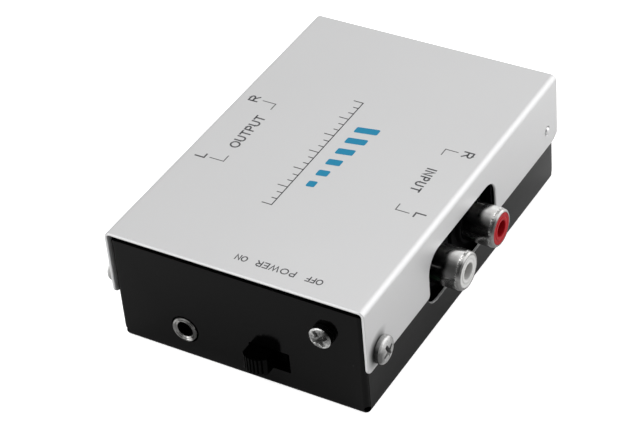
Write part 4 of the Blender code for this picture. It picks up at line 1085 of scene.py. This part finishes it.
world = bpy.data.worlds.new("studio")
bpy.context.scene.world = world
world.use_nodes = True
sky = world.node_tree
shade = sky.nodes["Background"]


def sky_math(operation, a, b=0.0):
    made = sky.nodes.new("ShaderNodeMath")
    made.operation = operation
    for value, socket in ((a, made.inputs[0]), (b, made.inputs[1])):
        if isinstance(value, bpy.types.NodeSocket):
            sky.links.new(value, socket)
        else:
            socket.default_value = value
    return made.outputs[0]


def sky_lobe(towards, wide, narrow, amount):
    """A soft bright (or dark) patch of the studio round one direction, between two half-angles."""
    dot = sky.nodes.new("ShaderNodeVectorMath")
    dot.operation = "DOT_PRODUCT"
    sky.links.new(heading, dot.inputs[0])
    dot.inputs[1].default_value = Vector(towards).normalized()
    ease = sky.nodes.new("ShaderNodeMapRange")
    ease.interpolation_type = "SMOOTHSTEP"
    ease.inputs["From Min"].default_value = math.cos(math.radians(wide))
    ease.inputs["From Max"].default_value = math.cos(math.radians(narrow))
    sky.links.new(dot.outputs["Value"], ease.inputs["Value"])
    return sky_math("MULTIPLY", ease.outputs["Result"], amount)


heading = sky.nodes.new("ShaderNodeTexCoord").outputs["Generated"]
glow = sky_math("ADD", 0.74, sky_lobe((0.66, 0.66, 0.36), 46, 26, 1.25))
glow = sky_math("ADD", glow, sky_lobe((-0.45, -0.62, 0.64), 34, 14, 1.35))
glow = sky_math("ADD", glow, sky_lobe((-0.9, 0.35, 0.0), 60, 20, -0.22))
glow = sky_math("ADD", glow, sky_lobe((0.43, -0.66, 0.62), 50, 25, -0.50))
shade.inputs["Color"].default_value = (1, 1, 1, 1)
sky.links.new(glow, shade.inputs["Strength"])


def softbox(name, at, aim, size, power):
    light = bpy.data.lights.new(name, "AREA")
    light.shape = "RECTANGLE"
    light.size, light.size_y = size
    light.energy = power
    obj = bpy.data.objects.new(name, light)
    bpy.context.scene.collection.objects.link(obj)
    obj.location = at
    obj.rotation_euler = (Vector(aim) - Vector(at)).to_track_quat("-Z", "Y").to_euler()
    return obj


softbox("overhead", (0.0, 0.05, 0.9), (0, 0, 0), (0.9, 0.9), 2.0)

# ------------------------------------------------------------------- camera
lens = bpy.data.cameras.new("camera")
lens.sensor_fit = "HORIZONTAL"
lens.sensor_width = 36.0
lens.lens = 124.465
lens.clip_start = 0.01
lens.clip_end = 20.0
camera = bpy.data.objects.new("camera", lens)
bpy.context.scene.collection.objects.link(camera)
right = Vector((0.8657837, 0.4950338, -0.0732125))
up = Vector((-0.2577699, 0.5665736, 0.7826551))
back = Vector((0.4289210, -0.6587380, 0.6181351))
spot = Vector((187.55, -296.5823, 286.1818)) * MM
camera.matrix_world = Matrix(((right.x, up.x, back.x, spot.x), (right.y, up.y, back.y, spot.y),
                              (right.z, up.z, back.z, spot.z), (0, 0, 0, 1)))
bpy.context.scene.camera = camera
bpy.context.scene.view_settings.view_transform = "Standard"
